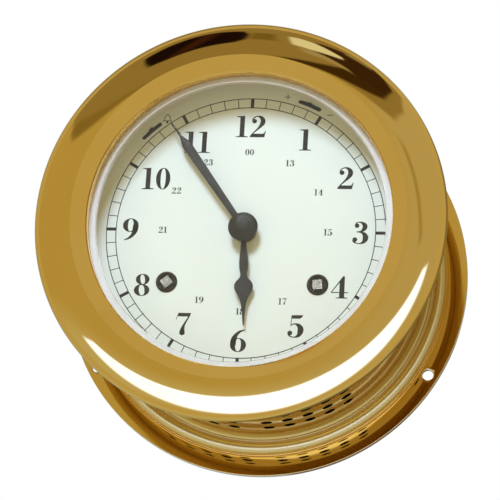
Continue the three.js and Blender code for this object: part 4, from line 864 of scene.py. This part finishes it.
# each digit: its width, and its shapes, of which a shape is an outline and its holes
DIGITS = {
    "0": (0.64, [bowl(0.32, 0.5, 0.32, 0.505, 0.115, 0.47)]),
    "1": (0.54, [[[(0.165, 0), (0.375, 0), (0.375, 1.0), (0.0, 0.985), (0.0, 0.955), (0.165, 0.925)]],
                 [[(0.0, 0), (0.54, 0), (0.54, 0.035), (0.40, 0.055), (0.14, 0.055), (0.0, 0.035)]]]),
    "2": (0.72, [[oval(0.19, 0.755, 0.105, 0.105)],
                 stroke([(0.11, 0.76, 0.02), (0.12, 0.86, 0.025), (0.21, 0.95, 0.025), (0.35, 0.985, 0.03),
                         (0.49, 0.92, 0.075), (0.565, 0.80, 0.105), (0.555, 0.67, 0.105), (0.48, 0.54, 0.075),
                         (0.36, 0.40, 0.045), (0.22, 0.26, 0.03), (0.08, 0.10, 0.025), (0.02, 0.02, 0.02)]),
                 [[(0.0, 0.0), (0.66, 0.0), (0.725, 0.31), (0.695, 0.31), (0.655, 0.215), (0.60, 0.165),
                   (0.16, 0.165)]]]),
    "3": (0.69, [[oval(0.185, 0.82, 0.10, 0.10)], [oval(0.115, 0.185, 0.105, 0.105)],
                 stroke([(0.11, 0.85, 0.02), (0.15, 0.93, 0.025), (0.25, 0.98, 0.022), (0.38, 0.965, 0.04),
                         (0.50, 0.88, 0.09), (0.535, 0.77, 0.105), (0.48, 0.65, 0.08), (0.36, 0.56, 0.035),
                         (0.18, 0.54, 0.018)]),
                 stroke([(0.18, 0.535, 0.018), (0.36, 0.52, 0.03), (0.50, 0.45, 0.08), (0.575, 0.30, 0.12),
                         (0.54, 0.15, 0.10), (0.44, 0.045, 0.05), (0.31, 0.012, 0.022), (0.17, 0.03, 0.025),
                         (0.06, 0.10, 0.035), (0.03, 0.17, 0.03)])]),
    "4": (0.76, [[[(0.36, 0.02), (0.58, 0.02), (0.58, 1.0), (0.53, 1.0), (0.36, 0.77)]],
                 [[(0.0, 0.245), (0.74, 0.245), (0.74, 0.285), (0.045, 0.285), (0.545, 0.965), (0.53, 1.0),
                   (0.50, 1.0), (0.0, 0.29)]],
                 [[(0.22, 0.0), (0.72, 0.0), (0.72, 0.035), (0.60, 0.055), (0.34, 0.055), (0.22, 0.035)]]]),
    "5": (0.68, [[[(0.14, 0.835), (0.50, 0.835), (0.61, 0.90), (0.645, 1.03), (0.60, 0.995), (0.15, 0.99)]],
                 [[(0.115, 0.50), (0.145, 0.50), (0.175, 0.96), (0.145, 0.96)]],
                 [oval(0.105, 0.19, 0.105, 0.105)],
                 stroke([(0.12, 0.51, 0.018), (0.20, 0.575, 0.022), (0.33, 0.595, 0.035), (0.47, 0.53, 0.085),
                         (0.555, 0.40, 0.125), (0.555, 0.25, 0.125), (0.49, 0.10, 0.085), (0.37, 0.02, 0.035),
                         (0.24, 0.01, 0.022), (0.11, 0.05, 0.03), (0.03, 0.15, 0.03)])]),
    "6": (0.70, [bowl(0.35, 0.31, 0.35, 0.315, 0.125, 0.28),
                 stroke([(0.13, 0.30, 0.125), (0.125, 0.42, 0.125), (0.16, 0.60, 0.11), (0.26, 0.78, 0.075),
                         (0.42, 0.92, 0.045), (0.60, 0.985, 0.02)])]),
    "7": (0.66, [[[(0.075, 0.84), (0.56, 0.84), (0.66, 1.0), (0.64, 1.0), (0.10, 1.0), (0.0, 0.70),
                   (0.03, 0.70)]],
                 stroke([(0.625, 0.985, 0.028), (0.55, 0.80, 0.032), (0.45, 0.62, 0.038), (0.375, 0.46, 0.05),
                         (0.33, 0.33, 0.075), (0.31, 0.20, 0.105), (0.31, 0.12, 0.115)]),
                 [oval(0.31, 0.115, 0.12, 0.12)]]),
    "8": (0.70, [bowl(0.36, 0.755, 0.305, 0.25, 0.10, 0.215, lean=-0.12),
                 bowl(0.345, 0.265, 0.345, 0.27, 0.125, 0.235, lean=-0.10)]),
    "9": (0.70, [bowl(0.35, 0.69, 0.35, 0.315, 0.125, 0.28),
                 stroke([(0.57, 0.70, 0.125), (0.575, 0.58, 0.125), (0.54, 0.40, 0.11), (0.44, 0.22, 0.075),
                         (0.28, 0.08, 0.045), (0.10, 0.015, 0.02)])]),
}
DIGIT_GAP = 0.08


def printed(mesh, outlines, centre=(0, 0)):
    """Prints a flat shape of the dial, its outlines measured from centre."""
    plate(mesh, [[(centre[0] + x, centre[1] + y) for x, y in outline] for outline in outlines],
          PRINT_BACK, PRINT_FRONT)


def box(low_x, high_x, half_y):
    return [(low_x, -half_y), (high_x, -half_y), (high_x, half_y), (low_x, half_y)]


def number(mesh, text, centre, height):
    """Prints a number, upright, with its middle at centre."""
    widths = [DIGITS[digit][0] for digit in text]
    start = -(sum(widths) + DIGIT_GAP * (len(text) - 1)) / 2
    for digit, width in zip(text, widths):
        for shape in DIGITS[digit][1]:
            printed(mesh, [[((start + x) * height, (y - 0.5) * height) for x, y in outline]
                           for outline in shape], centre)
        start += width + DIGIT_GAP


def minute_track(mesh):
    """Two fine circles with a bar at each minute and a block at each hour."""
    for radius in (TRACK_INSIDE, TRACK_OUTSIDE):
        printed(mesh, [circle(radius + TRACK_LINE, FINE), circle(radius - TRACK_LINE, FINE)])
    for minute in range(60):
        bar = box(TRACK_INSIDE - TRACK_LINE, TRACK_OUTSIDE + TRACK_LINE, 0.62 if minute % 5 == 0 else 0.15)
        printed(mesh, [turned_about(bar, minute * 6)])


def bell_sign(mesh, centre):
    """A small outlined bell, for the lever that silences the strike."""
    right = [(0.5, 1.45), (1.05, 0.6), (1.3, -0.7), (1.9, -1.3)]
    outer = [(-x, y) for x, y in reversed(right)] + [(0, 1.6)] + right
    inner = [(x * 0.74, y * 0.76 + 0.02) for x, y in outer]
    printed(mesh, [outer, inner], centre)
    printed(mesh, [circle(0.42, 16, (0, -1.75))], centre)


mesh = bmesh.new()
minute_track(mesh)
for hour, radius in HOUR_PLACES.items():
    number(mesh, str(hour), on_circle(radius, 90 - 30 * hour), HOUR_HEIGHT)
for hour in SMALL_HOURS:
    number(mesh, f"{hour:02d}", on_circle(SMALL_HOUR_CIRCLE, 90 - 30 * hour), SMALL_HOUR_HEIGHT)
for degrees in (MINUS_ANGLE, PLUS_ANGLE):
    printed(mesh, [box(-1.1, 1.1, 0.14)], on_circle(SIGN_CIRCLE, degrees))
printed(mesh, [box(-0.14, 0.14, 1.1)], on_circle(SIGN_CIRCLE, PLUS_ANGLE))
bell_sign(mesh, on_circle(SIGN_CIRCLE, BELL_SIGN_ANGLE))
piece("dial_print", mesh, "case", black_ink)


# Hands: stamped from sheet, blackened, under a domed nut

def hand(name, bore, back, turn, halves):
    """A round boss and a blade that points at turn: halves are (distance, half width) along the blade."""
    root = halves[0][1]
    start = math.sqrt(HAND_BOSS_RADIUS ** 2 - root ** 2)
    blade = [(along, half) for along, half in through(halves, 6) if along > start]
    angle = math.degrees(math.asin(root / HAND_BOSS_RADIUS))
    boss = [on_circle(HAND_BOSS_RADIUS, angle + (360 - 2 * angle) * k / 64) for k in range(65)]
    outline = boss + [(along, -half) for along, half in blade] + blade[::-1]
    mesh = bmesh.new()
    plate(mesh, [turned_about(outline, turn), circle(bore, SMALL)], back, back + HAND_THICKNESS)
    piece(f"{name}_blade", mesh, name, black_steel, [name], edge=0.07)


hand("minute_hand", MINUTE_HAND_BORE, MINUTE_HAND_BACK, MINUTE_TURN,
     [(4.0, 1.2), (14, 1.36), (26, 1.58), (37.5, 1.8), (40.6, 1.78), (42.4, 1.36), (44, 0.78), (45.4, 0.5),
      (48, 0.36), (52, 0.14)])
hand("hour_hand", HOUR_HAND_BORE, HOUR_HAND_BACK, HOUR_TURN,
     [(4.0, 0.85), (8, 1.2), (12.5, 1.65), (15.5, 1.62), (18.2, 1.2), (19.6, 1.7), (20.9, 2.9), (22.4, 3.55),
      (24.2, 3.3), (26, 2.35), (28, 1.45), (30, 0.9), (32, 0.66), (38, 0.2)])

skirt = bowed((5.7, 0.2), (5.7, 1.5), (4.0, 1.95), 10)
shoulder = bowed((3.0, 2.15), (2.8, 2.15), (2.75, 2.3), 3)
dome = bowed((2.7, 2.45), (2.3, 2.82), (0.001, 2.86), 8)[:-1]
nut = [(NUT_BORE, 0), (5.5, 0), *skirt, *shoulder, *dome, (0.02, 2.86), (0.02, 1.7), (NUT_BORE, 1.7)]
mesh = bmesh.new()
spun(mesh, [(radius, NUT_BACK + height) for radius, height in nut], ROUND)
piece("hand_nut_dome", mesh, "minute_hand", black_steel, ["hand_nut"], crisp=40)


# CAD pieces that keep their own shape take a finish

FINISH_OF_SLOT = {
    "polished_brass": polished_brass,
    "brass": grained_brass,
    "steel": ground_steel,
    "dark_steel": black_steel,
    "white_paint": white_lacquer,
    "clear_glass": glass_finish,
    "black_rubber": rubber,
}
FINISH_OF_NODE = {
    "bell": nickelled_bell,
    "going_winding_arbor": filed_steel,
    "strike_winding_arbor": filed_steel,
    "strike_silent_lever": bronzed_brass,
    "regulator_lever": bronzed_brass,
}
for row in frame["record"]["subparts"]:
    node = frame["nodes"][row["node"]]
    finish = FINISH_OF_NODE.get(row["node"], FINISH_OF_SLOT[row["material_slot"]])
    if node.data.materials:
        for place in node.material_slots:
            place.material = finish
    else:
        node.data.materials.append(finish)

bpy.context.scene.view_settings.view_transform = "Standard"
